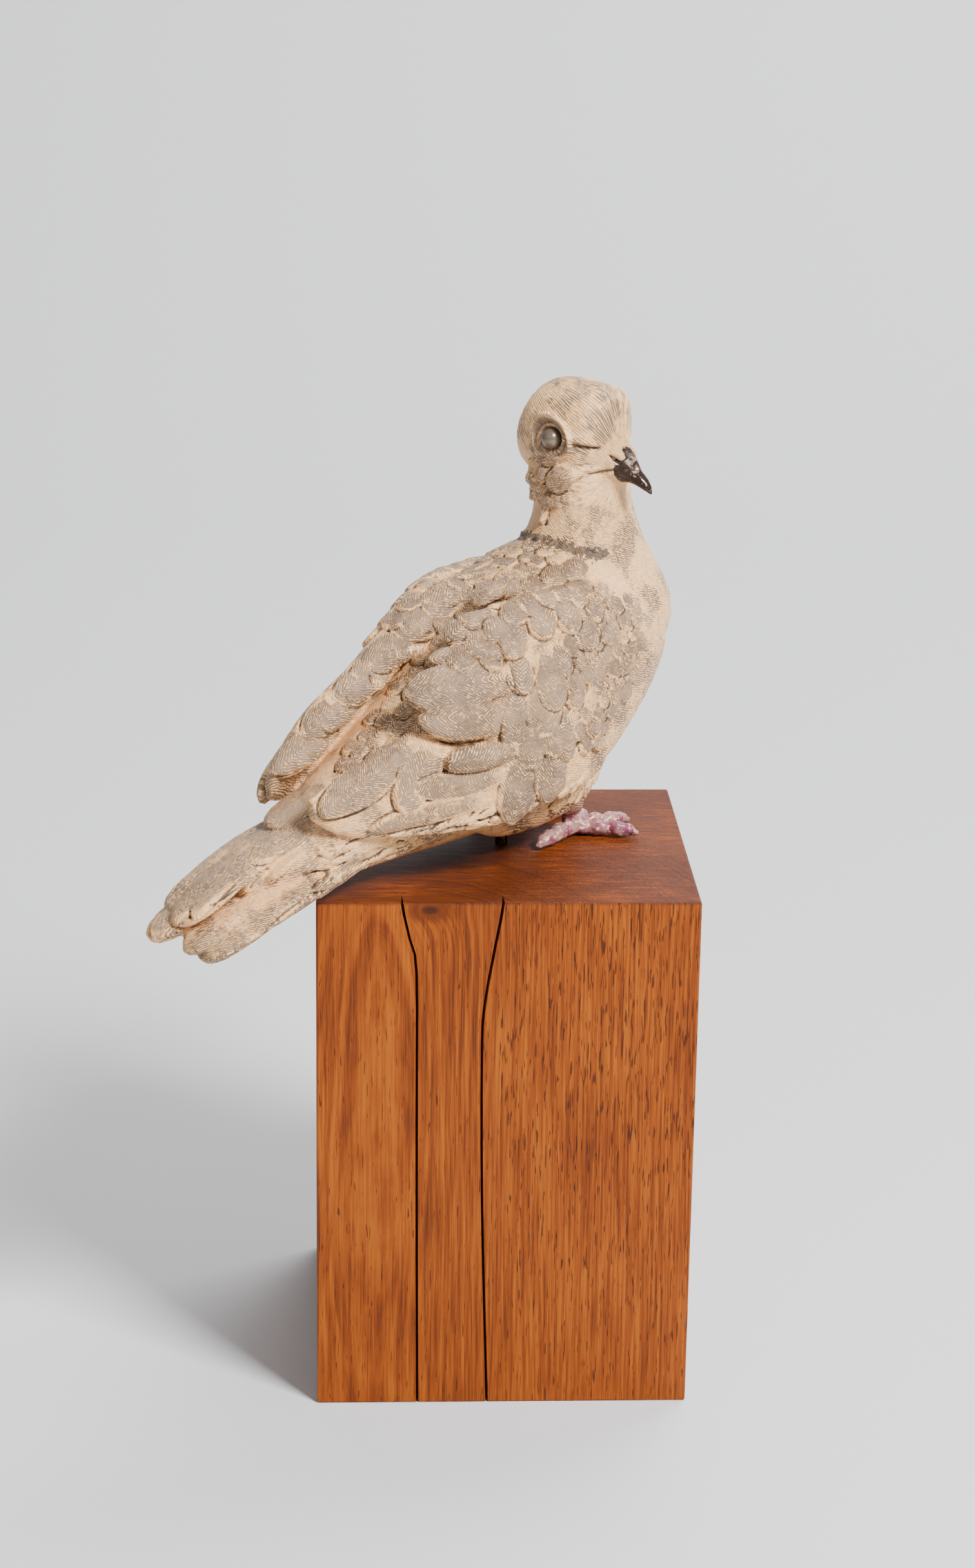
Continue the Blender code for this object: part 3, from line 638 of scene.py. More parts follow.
class Skin:
    """The dove's surface while it is carved: how far each point is raised, and by which feather."""

    SOFT_EDGE = 0.45

    def __init__(self, mesh: bpy.types.Mesh) -> None:
        """Reads the smooth form.

        Args:
            mesh: The form's mesh, in millimetres.
        """
        self.mesh = mesh
        self.points = MeshTools.points(mesh)
        self.normals = MeshTools.normals(mesh)
        self.edges = MeshTools.edges(mesh)
        self.height = np.zeros(len(self.points))
        self.grey = np.zeros(len(self.points))
        self.groove = np.zeros(len(self.points))
        self.level = np.zeros(len(self.points))
        self.owner = np.full(len(self.points), Grain.BODY.value)
        self.frames: list[np.ndarray] = []
        self.slants: list[float] = []
        faces = [face.vertices for face in mesh.polygons]
        self.tree = BVHTree.FromPolygons(self.points.tolist(), faces)

    def feather(
        self, start: Point, way: Point, tip_way: np.ndarray, length: float, width: float, rise: float,
        grey: float, depth: float = 5.0, slant: float = 0.72,
    ) -> None:
        """Carves one feather where a straight line meets the surface.

        Args:
            start: Where the line starts.
            way: The line's direction.
            tip_way: The way that the feather's tip points.
            length: The feather's length.
            width: Its full width.
            rise: How far its tip stands up.
            grey: How much grey paint is left on it, 0 to 1.
            depth: How far from the flat of the feather the surface may lie.
            slant: How steeply its comb lines cross its shaft, 0 along it and 1 across it.
        """
        place, facing, _, _ = self.tree.ray_cast(Vector(start), Vector(way))
        if place is None:
            return
        middle, normal = np.array(place), np.array(facing)
        along = tip_way - normal * (tip_way @ normal)
        if np.linalg.norm(along) < 0.1:
            return
        along /= np.linalg.norm(along)
        across = np.cross(normal, along)
        near = np.flatnonzero(np.abs(self.points - middle).max(axis=1) < max(length, width))
        away = self.points[near] - middle
        share = away @ along / length + 0.5
        inside = (share > 0) & (share < 1) & (np.abs(away @ across) < 0.62 * width)
        inside &= (np.abs(away @ normal) < depth) & (self.normals[near] @ normal > 0.1)
        near, away, share = near[inside], away[inside], share[inside]
        number = len(self.frames)
        bend = 0.16 * length * math.sin(1.7 * number)
        aside = away @ across + bend * (share - 0.4) ** 2
        ragged = 0.045 * np.sin(13 * share + 2.1 * number + np.sign(aside))
        half = width / 2 * (Loft.blade(share) + ragged * np.clip(2 * share, 0, 1))
        sideways = np.abs(aside)
        from_edge = np.minimum(half - sideways, (1 - share) * length * 0.6)
        edge = np.clip(from_edge / self.SOFT_EDGE, 0, 1)
        edge = edge * edge * (3 - 2 * edge)
        base = np.clip(share / 0.3, 0, 1)
        cushion = 0.35 + 0.65 * np.sqrt(np.clip(1 - (sideways / np.maximum(half, 0.1)) ** 2, 0, 1))
        shaft = 0.3 * bump(sideways, 0.0, 0.5) * (width > 9) * (1 - share)
        level = rise * (0.2 + 0.8 * share**0.8)
        raised = (level * cushion + shaft) * edge * base
        outside = bump(from_edge, -0.45, 0.45) * np.clip(2.5 * share - 0.8, 0, 1)
        deeper = (from_edge < 0.1) & (outside > self.groove[near])
        self.groove[near[deeper]] = outside[deeper]
        self.level[near[deeper]] = level[deeper]
        higher = (raised > self.height[near]) & (from_edge > 0)
        near, raised, from_edge = near[higher], raised[higher], from_edge[higher]
        self.height[near] = raised
        flat = np.clip((from_edge - 0.25) / (0.5 + 0.06 * width), 0, 1)
        self.grey[near] = grey * flat * base[higher]
        self.owner[near] = number
        self.frames.append(np.array([middle, along, across]))
        self.slants.append(slant)

    def cracks(self) -> np.ndarray:
        """Cuts a groove where a feather overhangs the next, and says how deep it is at each point."""
        uneven = np.array([noise.noise(Vector(point)) for point in (self.points * 0.14).tolist()])
        deep = self.groove * np.clip(0.6 + 1.4 * uneven, 0.1, 1.0)
        deep *= self.height < 0.8 * self.level
        self.height -= 1.0 * deep
        self.height = MeshTools.spread(self.edges, self.height[:, None], 1, 0.35)[:, 0]
        return deep


@dataclass
class Dove:
    """The cast dove, with its sizes in millimetres and its turns in degrees.

    Attributes:
        heading: The way its breast points, from the block's +X.
        head_turn: How far its head turns from there.
        head_nod: How far its head is bowed.
        head_at: The middle of its head, in its own frame.
        rod_at: Where the rod meets it, in its own frame.
        seat_gap: The gap under its toes.
        cell: The size of the surface's cells while it is carved.
        triangles: How many triangles the finished surface has.
    """

    heading: float = 40.0
    head_turn: float = -76.0
    head_nod: float = 20.0
    head_at: Point = (12.0, 0.0, 141.0)
    rod_at: tuple[float, float] = (-26.0, -3.5)
    seat_gap: float = 0.3
    cell: float = 0.62
    triangles: int = 190_000

    def head_matrix(self) -> np.ndarray:
        """Gives the turn from the head's frame to the dove's."""
        turn = Matrix.Rotation(math.radians(self.head_turn), 3, "Z")
        return np.array(turn @ Matrix.Rotation(math.radians(self.head_nod), 3, "Y"))

    def in_head(self, shape: Shape) -> Shape:
        """Sets a shape of the head's frame on the neck.

        Args:
            shape: The shape's points and faces.

        Returns:
            The same shape in the dove's frame.
        """
        points, faces = shape
        return points @ self.head_matrix().T + self.head_at, faces

    def to_head(self, points: np.ndarray) -> np.ndarray:
        """Gives places of the dove's frame in the head's frame."""
        return (points - self.head_at) @ self.head_matrix()

    def neck(self) -> Shape:
        """Makes the neck, from inside the breast to inside the head."""
        z, x, long, wide = Loft.eased(NECK, 7).T
        still = np.zeros_like(x)
        middles = np.stack([x, still, z], axis=1)
        sides = np.stack([long, still, still], axis=1)
        ups = np.stack([still, wide, still], axis=1)
        return Loft.skin(Loft.rounds(middles, sides, ups))

    def throat(self) -> Shape:
        """Makes what fills the corner between the chin and the neck."""
        chin = tuple(self.head_matrix() @ (11.0, 0.0, -8.0) + self.head_at)
        return Loft.tube([chin, (15.5, -7.0, 121.0), (17.0, -4.0, 110.0)], [6.5, 8.5, 12.0])

    def wing(self, side: Side) -> Shape:
        """Makes one folded wing.

        Args:
            side: Which wing it is.

        Returns:
            The wing's points and faces.
        """
        sign = side.value
        x, out, z, tall, thick, lean = Loft.eased(WING + WING_ENDS[side], 7).T
        lean = np.radians(lean)
        still = np.zeros_like(x)
        middles = np.stack([x, sign * out, z], axis=1)
        sides = np.stack([still, sign * thick * np.cos(lean), thick * np.sin(lean)], axis=1)
        ups = np.stack([still, -sign * tall * np.sin(lean), tall * np.cos(lean)], axis=1)
        rings = Loft.rounds(middles, sides, ups, fullness=2.2)
        return Loft.skin(rings[::-1] if side is Side.LEFT else rings)

    def leg(self, side: Side) -> list[Shape]:
        """Makes a leg with its tuft of feathers and its four toes.

        Args:
            side: Which leg it is.

        Returns:
            The shapes that the leg is made of.
        """
        out = side.value * FOOT_OUT
        shapes = []
        for limb in (THIGH_TUFT, SHANK):
            shapes.append(Loft.tube([(x, out, z) for x, z, _ in limb], [radius for _, _, radius in limb]))
        for way, length in TOES:
            turn = -side.value * math.radians(way)
            path = []
            for share, high, _ in TOE:
                reach = share * length
                path.append((reach * math.cos(turn), out + reach * math.sin(turn), high))
            shapes.append(Loft.tube(path, [radius for _, _, radius in TOE]))
        return shapes

    def shapes(self) -> list[Shape]:
        """Makes the shapes that run into each other to form the dove."""
        shapes = [Loft.along_x(TRUNK, 2.2), self.neck(), self.throat()]
        shapes += [self.in_head(Loft.along_x(HEAD, 2.1)), self.in_head(Loft.along_x(BILL))]
        for side in Side:
            shapes.append(self.wing(side))
            shapes += self.leg(side)
            points, faces = Loft.along_x(THIGH, 2.2)
            shapes.append((points + (0, side.value * THIGH_OUT, 0), faces))
            for (x, out, z), radius in HEAD_LUMPS:
                shapes.append(self.in_head(Loft.ball((x, side.value * out, z), radius)))
        shapes += [Loft.plate(*row, TipForm.BLUNT) for row in TAIL_FEATHERS]
        shapes += [Loft.plate(*row, TipForm.POINTED) for row in WING_TOPS]
        return shapes

    def one_skin(self) -> bpy.types.Object:
        """Makes one closed surface about all the shapes."""
        points, faces, start = [], [], 0
        for shape_points, shape_faces in self.shapes():
            points.append(shape_points)
            faces += [tuple(start + i for i in face) for face in shape_faces]
            start += len(shape_points)
        mesh = bpy.data.meshes.new("dove_body")
        mesh.from_pydata(np.vstack(points).tolist(), [], faces)
        item = bpy.data.objects.new("dove_body", mesh)
        bpy.context.scene.collection.objects.link(item)
        remesh = item.modifiers.new("one_skin", "REMESH")
        remesh.mode = "VOXEL"
        remesh.voxel_size = self.cell
        self.apply_modifiers(item)
        return item

    @staticmethod
    def apply_modifiers(item: bpy.types.Object) -> None:
        """Applies every modifier of an object.

        Args:
            item: The object.
        """
        bpy.ops.object.select_all(action="DESELECT")
        bpy.context.view_layer.objects.active = item
        item.select_set(True)
        for modifier in list(item.modifiers):
            bpy.ops.object.modifier_apply(modifier=modifier.name)
        item.select_set(False)

    def smooth(self, mesh: bpy.types.Mesh) -> None:
        """Rounds the whole a little, and more where the neck meets the head, the back and the breast.

        Args:
            mesh: The dove's mesh.
        """
        edges = MeshTools.edges(mesh)
        points = MeshTools.spread(edges, MeshTools.points(mesh), 4, 0.5)
        around_neck = bump(points[:, 2], 104, 12) * (points[:, 0] > -30)
        below_head = bump(points[:, 2], 119, 5) * 0.6
        mantle = bump(points[:, 0], -22, 22) * bump(points[:, 1], 0, 16) * (points[:, 2] > 60)
        share = 0.5 * np.clip(around_neck + below_head + mantle, 0, 1)
        MeshTools.move(mesh, MeshTools.spread_where(edges, points, 215, share))

    @staticmethod
    def within(region: tuple[tuple[float, float], ...], x: float, z: float) -> bool:
        """Says whether a place is inside a region.

        Args:
            region: The region's corners.
            x: The place along the dove.
            z: Its height.

        Returns:
            Whether it is inside.
        """
        inside = False
        for i, (x1, z1) in enumerate(region):
            x2, z2 = region[i - 1]
            if (z1 > z) != (z2 > z) and x < (x2 - x1) * (z - z1) / (z2 - z1) + x1:
                inside = not inside
        return inside

    def wing_coverts(self) -> list[tuple[float, float, float]]:
        """Lists the shoulder's small feathers: staggered rows between the carved ones."""
        places = []
        pitch = 0.8 * COVERT_SIZE
        taken = [(x, z) for x, z, *_ in WING_FEATHERS]
        for row in range(12):
            for column in range(9):
                x = 12 - pitch * (column + 0.5 * (row % 2))
                z = 98 - 0.8 * pitch * row
                clear = all(math.hypot(x - a, z - b) > 0.62 * COVERT_SIZE for a, b in taken)
                if clear and self.within(COVERT_REGION, x, z):
                    places.append((x, z, -98 - 1.2 * (12 - x) + 7 * math.sin(5 * row + 3 * column)))
        return places

    def carve_wings(self, skin: Skin) -> None:
        """Carves the feathers on both sides.

        Args:
            skin: The surface to carve.
        """
        for side in Side:
            way = (0, -side.value, 0)
            out = side.value * 90
            for x, z, degrees, length, width, rise, grey in WING_FEATHERS:
                long, wide = 1.15 * length, 1.15 * width
                skin.feather((x, out, z), way, pointing(degrees), long, wide, 1.9 * rise, grey)
            for x, z, degrees in self.wing_coverts():
                grey = 0.7 + 0.3 * math.sin(3 * x + 5 * z)
                long = (1.25 + 0.2 * math.sin(11 * z)) * COVERT_SIZE
                wide = (1.0 + 0.2 * math.sin(7 * x)) * COVERT_SIZE
                skin.feather((x, out, z), way, pointing(degrees), long, wide, 1.8, grey)
            for i in range(16):
                x, row = -7 - 3.7 * i, i % 2
                y = side.value * (33 + 7 * row)
                z = 114 - 5 * row - 0.5 * max(0.0, -x - 35)
                inward = (0, -0.7 * side.value, -0.7)
                back = np.array([-1.0, 0.15 * math.sin(9 * i), -0.5])
                skin.feather((x, y, z), inward, back, 14.0, 9.5, 1.9, 0.9)

    def carve_plates(self, skin: Skin) -> None:
        """Carves the long feathers that stand free: comb lines, a shaft and a worn face.

        Args:
            skin: The surface to carve.
        """
        for rows, grey, slant in ((WING_TOPS, 0.95, 0.6), (TAIL_FEATHERS, 0.5, 0.16)):
            for base, tip, width, thick, bank, _ in rows:
                start, end = np.array(base, float), np.array(tip, float)
                outward = np.array([0.0, math.sin(bank), math.cos(bank)])
                middle = 0.55 * end + 0.45 * start + outward * (thick + 9)
                length = 1.02 * float(np.linalg.norm(end - start))
                way = tuple(-outward)
                skin.feather(tuple(middle), way, end - start, length, width, 1.2, grey, 7.0, slant)

    def carve_back(self, skin: Skin) -> None:
        """Carves low feathers on the mantle and the rump, in staggered rows from front to back.

        Args:
            skin: The surface to carve.
        """
        for row in range(17):
            x = -9.5 - 5.4 * row
            reach = 19 if x > -44 else 11
            for column in range(-4, 5):
                y = 6.0 * (column + 0.5 * (row % 2)) + 0.8 * math.sin(7 * row + 3 * column)
                if abs(y) <= reach:
                    back = np.array([-1.0, 0.02 * y + 0.25 * math.sin(5 * row + column), -0.5])
                    grey = 0.55 + 0.2 * math.sin(4 * row + column)
                    skin.feather((x, y, 117), (0, 0, -1), back, 9.5, 7.0, 1.2, grey)

    def carve_flanks(self, skin: Skin) -> None:
        """Carves ragged tufts below the wings, on the thighs and where the neck meets the mantle.

        Args:
            skin: The surface to carve.
        """
        for side in Side:
            out, way = side.value * 90, (0, -side.value, 0)
            for i in range(44):
                share = i / 43
                x = 8 - 62 * share + 2.5 * math.sin(12.9 * i)
                z = 29 - 3 * math.sin(3 * share) + 6.5 * math.sin(78.2 * i + side.value)
                degrees = -125 - 40 * share + 16 * math.sin(37.7 * i)
                width = 3.6 + 0.9 * math.sin(5.1 * i)
                skin.feather((x, out, z), way, pointing(degrees), 10.5, width, 1.5, 0.35, 6.0, 0.25)
            for i in range(60):
                share = i / 59
                x = -52 - 66 * share + 2.5 * math.sin(9.7 * i)
                z = 24 - 12 * share + 5.5 * math.sin(51.3 * i + side.value)
                degrees = -165 + 9 * math.sin(17.7 * i)
                skin.feather((x, out, z), way, pointing(degrees), 15.0, 3.4, 1.2, 0.25, 6.0, 0.2)

    def carve_face(self, skin: Skin) -> None:
        """Carves the socket, the lids and the brow about each eye, and the creases of the face.

        Args:
            skin: The surface to carve.
        """
        forth, aside, up = self.to_head(skin.points).T
        far, almond = about_eye(forth, up)
        above = np.clip(0.5 + (up + 0.6 * forth) / 7, 0, 1)
        socket = np.clip((1.0 - almond) / 0.16, 0, 1) + 2.2 * np.clip((4.7 - far) / 0.8, 0, 1)
        lids = 0.9 * bump(far, 5.3, 0.6) + 1.5 * bump(almond, 1.14, 0.13) * above
        lids += 0.4 * bump(almond, 1.1, 0.1)
        for side in Side:
            on_side = (side.value * aside > 1.5) & (up > -19)
            skin.height += on_side * (lids - socket)
            for line in CREASES:
                skin.height += on_side * self.crease(forth, up, *line)

    def carve_cheeks(self, skin: Skin) -> None:
        """Carves the tufts of both cheeks.

        Args:
            skin: The surface to carve.
        """
        turn = self.head_matrix()
        for side in Side:
            way = tuple(turn @ (0.0, -side.value, 0.0))
            for f, u, degrees, length, width, rise, grey in FACE_TUFTS:
                start = tuple(turn @ (f, 30.0 * side.value, u) + self.head_at)
                skin.feather(start, way, turn @ pointing(degrees), length, width, rise, grey, 6.0, 0.3)

    @staticmethod
    def crease(
        forth: np.ndarray, up: np.ndarray, start: tuple[float, float], end: tuple[float, float],
        width: float, depth: float,
    ) -> np.ndarray:
        """Shapes a groove along a line of the face, with a soft fold above it.

        Args:
            forth: How far forward each point is, in the head's frame.
            up: How high each point is.
            start: Where the line starts.
            end: Where it ends.
            width: How wide the groove is.
            depth: How deep it is.

        Returns:
            How far each point rises.
        """
        line = np.array(end) - np.array(start)
        length = float(np.linalg.norm(line))
        along = line / length
        share = ((forth - start[0]) * along[0] + (up - start[1]) * along[1]) / length
        off = (up - start[1]) * along[0] - (forth - start[0]) * along[1]
        faded = np.clip(5 * share, 0, 1) * np.clip(5 * (1 - share), 0, 1)
        return depth * faded * (0.7 * bump(off, 2.4 * width, 1.5 * width) - bump(off, 0, width))

    def roughen(self, skin: Skin) -> np.ndarray:
        """Adds the uneven marks of hand modelling, which are strongest on the collar and the toes.

        Args:
            skin: The surface to roughen.

        Returns:
            How much each point belongs to the collar.
        """
        x, y, z = skin.points.T
        collar = bump(z, 106.8 - 0.011 * y**2, 1.7) * (x < 8) * (np.abs(y) < 20)
        feet = np.clip((13 - z) / 3, 0, 1) * (np.hypot(x, np.abs(y) - FOOT_OUT) < TOE_REACH)
        strength = 0.14 + 0.9 * collar + 0.22 * feet
        wave = np.array([noise.noise(Vector(point)) for point in (skin.points * 0.35).tolist()])
        fine = np.array([noise.noise(Vector(point)) for point in (skin.points * 0.9).tolist()])
        skin.height += strength * (wave + 0.7 * fine)
        return collar

    def build(self, finish: "PaintedBronze") -> bpy.types.Object:
        """Builds the dove.

        Args:
            finish: Its paint.

        Returns:
            The finished dove.
        """
        item = self.one_skin()
        self.smooth(item.data)
        skin = Skin(item.data)
        self.carve_wings(skin)
        self.carve_plates(skin)
        self.carve_back(skin)
        self.carve_flanks(skin)
        self.carve_cheeks(skin)
        # The grooves under feather tips, whose depth also sets a painted shadow line.
        crack = skin.cracks()
        self.carve_face(skin)
        collar = self.roughen(skin)
        carved = skin.points + skin.normals * skin.height[:, None]
        # How deep each point lies; the paint darkens deep places as painted shade.
        hollow = self.hollows(skin.edges, carved, skin.normals)
        MeshTools.move(item.data, carved)
        fewer = item.modifiers.new("fewer", "DECIMATE")
        fewer.ratio = self.triangles / (2 * len(item.data.polygons))
        fewer.use_collapse_triangulate = True
        self.apply_modifiers(item)
        self.set_eyes(item.data)
        paint = np.stack([skin.grey, hollow, collar, crack], axis=1)
        self.mark(item.data, skin, carved, paint)
        self.seat(item.data)
        item.data.materials.append(finish.material())
        item.data.shade_smooth()
        return item

    def set_eyes(self, mesh: bpy.types.Mesh) -> None:
        """Sets a smooth ball in each socket.

        Args:
            mesh: The dove's mesh, in its own frame.
        """
        body = bmesh.new()
        body.from_mesh(mesh)
        for side in Side:
            at = self.head_matrix() @ (EYE_AT[0], side.value * EYE_AT[1], EYE_AT[2]) + self.head_at
            size = {"u_segments": 48, "v_segments": 28, "radius": EYE_RADIUS}
            ball = bmesh.ops.create_uvsphere(body, matrix=Matrix.Translation(at), **size)
            rings = {edge for vertex in ball["verts"] for edge in vertex.link_edges}
            faces = {face for edge in rings for face in edge.link_faces}
            bmesh.ops.triangulate(body, faces=list(faces))
        body.to_mesh(mesh)
        body.free()

    @staticmethod
    def hollows(edges: np.ndarray, points: np.ndarray, normals: np.ndarray) -> np.ndarray:
        """Measures how deep each point lies below the surface about it.

        Args:
            edges: The two ends of each edge.
            points: The carved points.
            normals: The way that each faces.

        Returns:
            A depth for each point, negative on ridges.
        """
        even = MeshTools.spread(edges, points, 8, 0.5)
        return np.einsum("ij,ij->i", even - points, normals)

    def mark(self, mesh: bpy.types.Mesh, skin: Skin, carved: np.ndarray, paint: np.ndarray) -> None:
        """Writes what the paint follows: how grey, how deep and which part each point is.

        Args:
            mesh: The finished mesh, in the dove's frame.
            skin: The carved surface.
            carved: Its points.
            paint: For each of them how grey it is, how deep it lies, how much of the collar it is and
            how deep a groove between feathers is there; the two depths set where shade is painted.
        """
        tree = KDTree(len(carved))
        for index, point in enumerate(carved.tolist()):
            tree.insert(point, index)
        tree.balance()
        points = MeshTools.points(mesh)
        nearest = np.array([tree.find(point)[1] for point in points.tolist()])
        grey, hollow, collar, crack = paint[nearest].T
        f, s, u = self.to_head(points).T
        aside = np.abs(s)
        to_eye = np.linalg.norm(np.stack([f, aside, u], axis=1) - EYE_AT, axis=1)
        eye = np.abs(to_eye - EYE_RADIUS) < 0.02
        far, almond = about_eye(f, u)
        rim = np.clip((1.25 - almond) / 0.3, 0, 1) * (aside > 8) * ~eye
        grey = np.maximum(grey, 0.62 * rim)
        # Less painted shade in the hollows of each socket's rim.
        hollow = np.where(rim > 0, np.minimum(hollow, 0.25), hollow)
        # A painted shadow ring round each eye ball, laid into the groove depths.
        crack = np.maximum(crack, 0.45 * bump(far, 4.0, 0.4) * (aside > 9) * ~eye)
        forth = f - 17.0
        reach = np.hypot(s, u + 2.3 + 0.2 * forth)
        bill = np.clip((forth + 1.0 + 0.75 * u) / 2.5, 0, 1) * np.clip(7.8 - 0.27 * forth - reach, 0, 1)
        x, y, z = points.T
        from_leg = np.abs(y) - FOOT_OUT
        foot = np.clip((12.5 - z) / 2.0, 0, 1) * (np.hypot(x, from_leg) < TOE_REACH)
        foot *= 1 - np.clip((np.hypot(x + 2, from_leg) - 5.2) / 2, 0, 1) * (z > 7.5)
        one = np.ones(len(points))
        smooth = np.clip((1.0 - almond) / 0.2, 0, 1) * (aside > 8)
        self.colour_attribute(mesh, "paint", grey, 0.5 + 0.5 * hollow, collar, one)
        self.colour_attribute(mesh, "parts", bill, foot, eye.astype(float), one)
        self.colour_attribute(mesh, "borders", crack, smooth, one, one)
        self.comb_lines(mesh, skin, tree, points)

    @staticmethod
    def colour_attribute(mesh: bpy.types.Mesh, name: str, *parts: np.ndarray) -> None:
        """Keeps four values for each point of a mesh.

        Args:
            mesh: The mesh.
            name: The attribute's name.
            parts: The four values of each point.
        """
        attribute = mesh.color_attributes.new(name=name, type="FLOAT_COLOR", domain="POINT")
        attribute.data.foreach_set("color", np.stack(parts, axis=1).astype(np.float32).ravel())

    def comb_lines(self, mesh: bpy.types.Mesh, skin: Skin, tree: KDTree, points: np.ndarray) -> None:
        """Lays a map over the mesh: across the comb lines and along them, in millimetres.

        Args:
            mesh: The mesh, in the dove's frame.
            skin: The carved surface, which knows its feathers.
            tree: Finds the carved point nearest to a place.
            points: The mesh's points.
        """
        corners = np.empty(len(mesh.loops), np.int32)
        mesh.loops.foreach_get("vertex_index", corners)
        corners = corners.reshape(-1, 3)
        middles = points[corners].mean(axis=1)
        owner = skin.owner[[tree.find(place)[1] for place in middles.tolist()]]
        local = self.to_head(middles)
        plain = owner < 0
        jaw = 119 + 3 * np.sin(0.5 * middles[:, 0] + 0.7 * middles[:, 1])
        on_head = plain & (np.linalg.norm(local, axis=1) < 27) & (middles[:, 2] > jaw)
        on_neck = plain & ~on_head & (middles[:, 2] > 62) & (middles[:, 0] > -14)
        owner[on_neck] = Grain.NECK.value
        owner[on_head] = Grain.HEAD.value
        places = points[corners]
        lines = np.zeros((*corners.shape, 2))
        frames, slants = np.array(skin.frames), np.array(skin.slants)
        carved = np.flatnonzero(owner >= 0)
        frame_of = frames[owner[carved]]
        away = places[carved] - frame_of[:, None, 0]
        along = np.einsum("ijk,ik->ij", away, frame_of[:, 1])
        across = np.einsum("ijk,ik->ij", away, frame_of[:, 2])
        number = owner[carved, None]
        slant = slants[number]
        steep = np.sqrt(1 - slant**2)
        aside = np.abs(across) + 0.02 * across**2
        pitch = 1 + 0.16 * np.sin(2.3 * number)
        lines[carved, :, 0] = pitch * (slant * along + steep * aside) + 3.1 * number
        lines[carved, :, 1] = slant * aside - steep * along + 1.7 * number
        for grain in Grain:
            chosen = np.flatnonzero(owner == grain.value)
            lines[chosen] = self.flow(grain, places[chosen])
        layer = mesh.uv_layers.new(name="comb")
        layer.data.foreach_set("uv", lines.astype(np.float32).ravel())

    def flow(self, grain: Grain, places: np.ndarray) -> np.ndarray:
        """Says how the comb lines run where there are no carved feathers.

        Args:
            grain: The part of the surface.
            places: Places on it, in the dove's frame.

        Returns:
            How far each place is across the lines and along them.
        """
        x, y, z = np.moveaxis(places, -1, 0)
        if grain is Grain.HEAD:
            local = self.to_head(places) - (19.0, 0.0, 0.0)
            f, s, u = np.moveaxis(local, -1, 0)
            turn = self.unbroken(np.arctan2(s, u + 0.25 * f))
            return np.stack([13.0 * turn, 16.0 * np.arctan2(np.hypot(s, u), -f)], axis=-1)
        if grain is Grain.NECK:
            turn = 24.0 * self.unbroken(np.arctan2(y, x - 12.0))
            return np.stack([z + 0.38 * turn, turn], axis=-1)
        return np.stack([z + 0.7 * y + 0.12 * x, x], axis=-1)

    @staticmethod
    def unbroken(turn: np.ndarray) -> np.ndarray:
        """Keeps the turns of each face's corners together where a full turn is complete."""
        first = turn[:, :1]
        return turn + 2 * math.pi * np.round((first - turn) / (2 * math.pi))

    def seat(self, mesh: bpy.types.Mesh) -> None:
        """Keeps the soles off the block, and sets the dove down on it.

        Args:
            mesh: The mesh, in the dove's frame.
        """
        points = MeshTools.points(mesh)
        over_block = points[:, 0] > -60
        points[over_block, 2] = np.clip(points[over_block, 2], 0, None)
        MeshTools.move(mesh, points)
        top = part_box("plinth")[1].z
        lift = Matrix.Translation((0, 0, top + self.seat_gap * MILLIMETRE))
        turn = Matrix.Rotation(math.radians(self.heading), 4, "Z")
        over_rod = Matrix.Translation((-self.rod_at[0] * MILLIMETRE, -self.rod_at[1] * MILLIMETRE, 0))
        mesh.transform(lift @ turn @ over_rod @ Matrix.Scale(MILLIMETRE, 4))


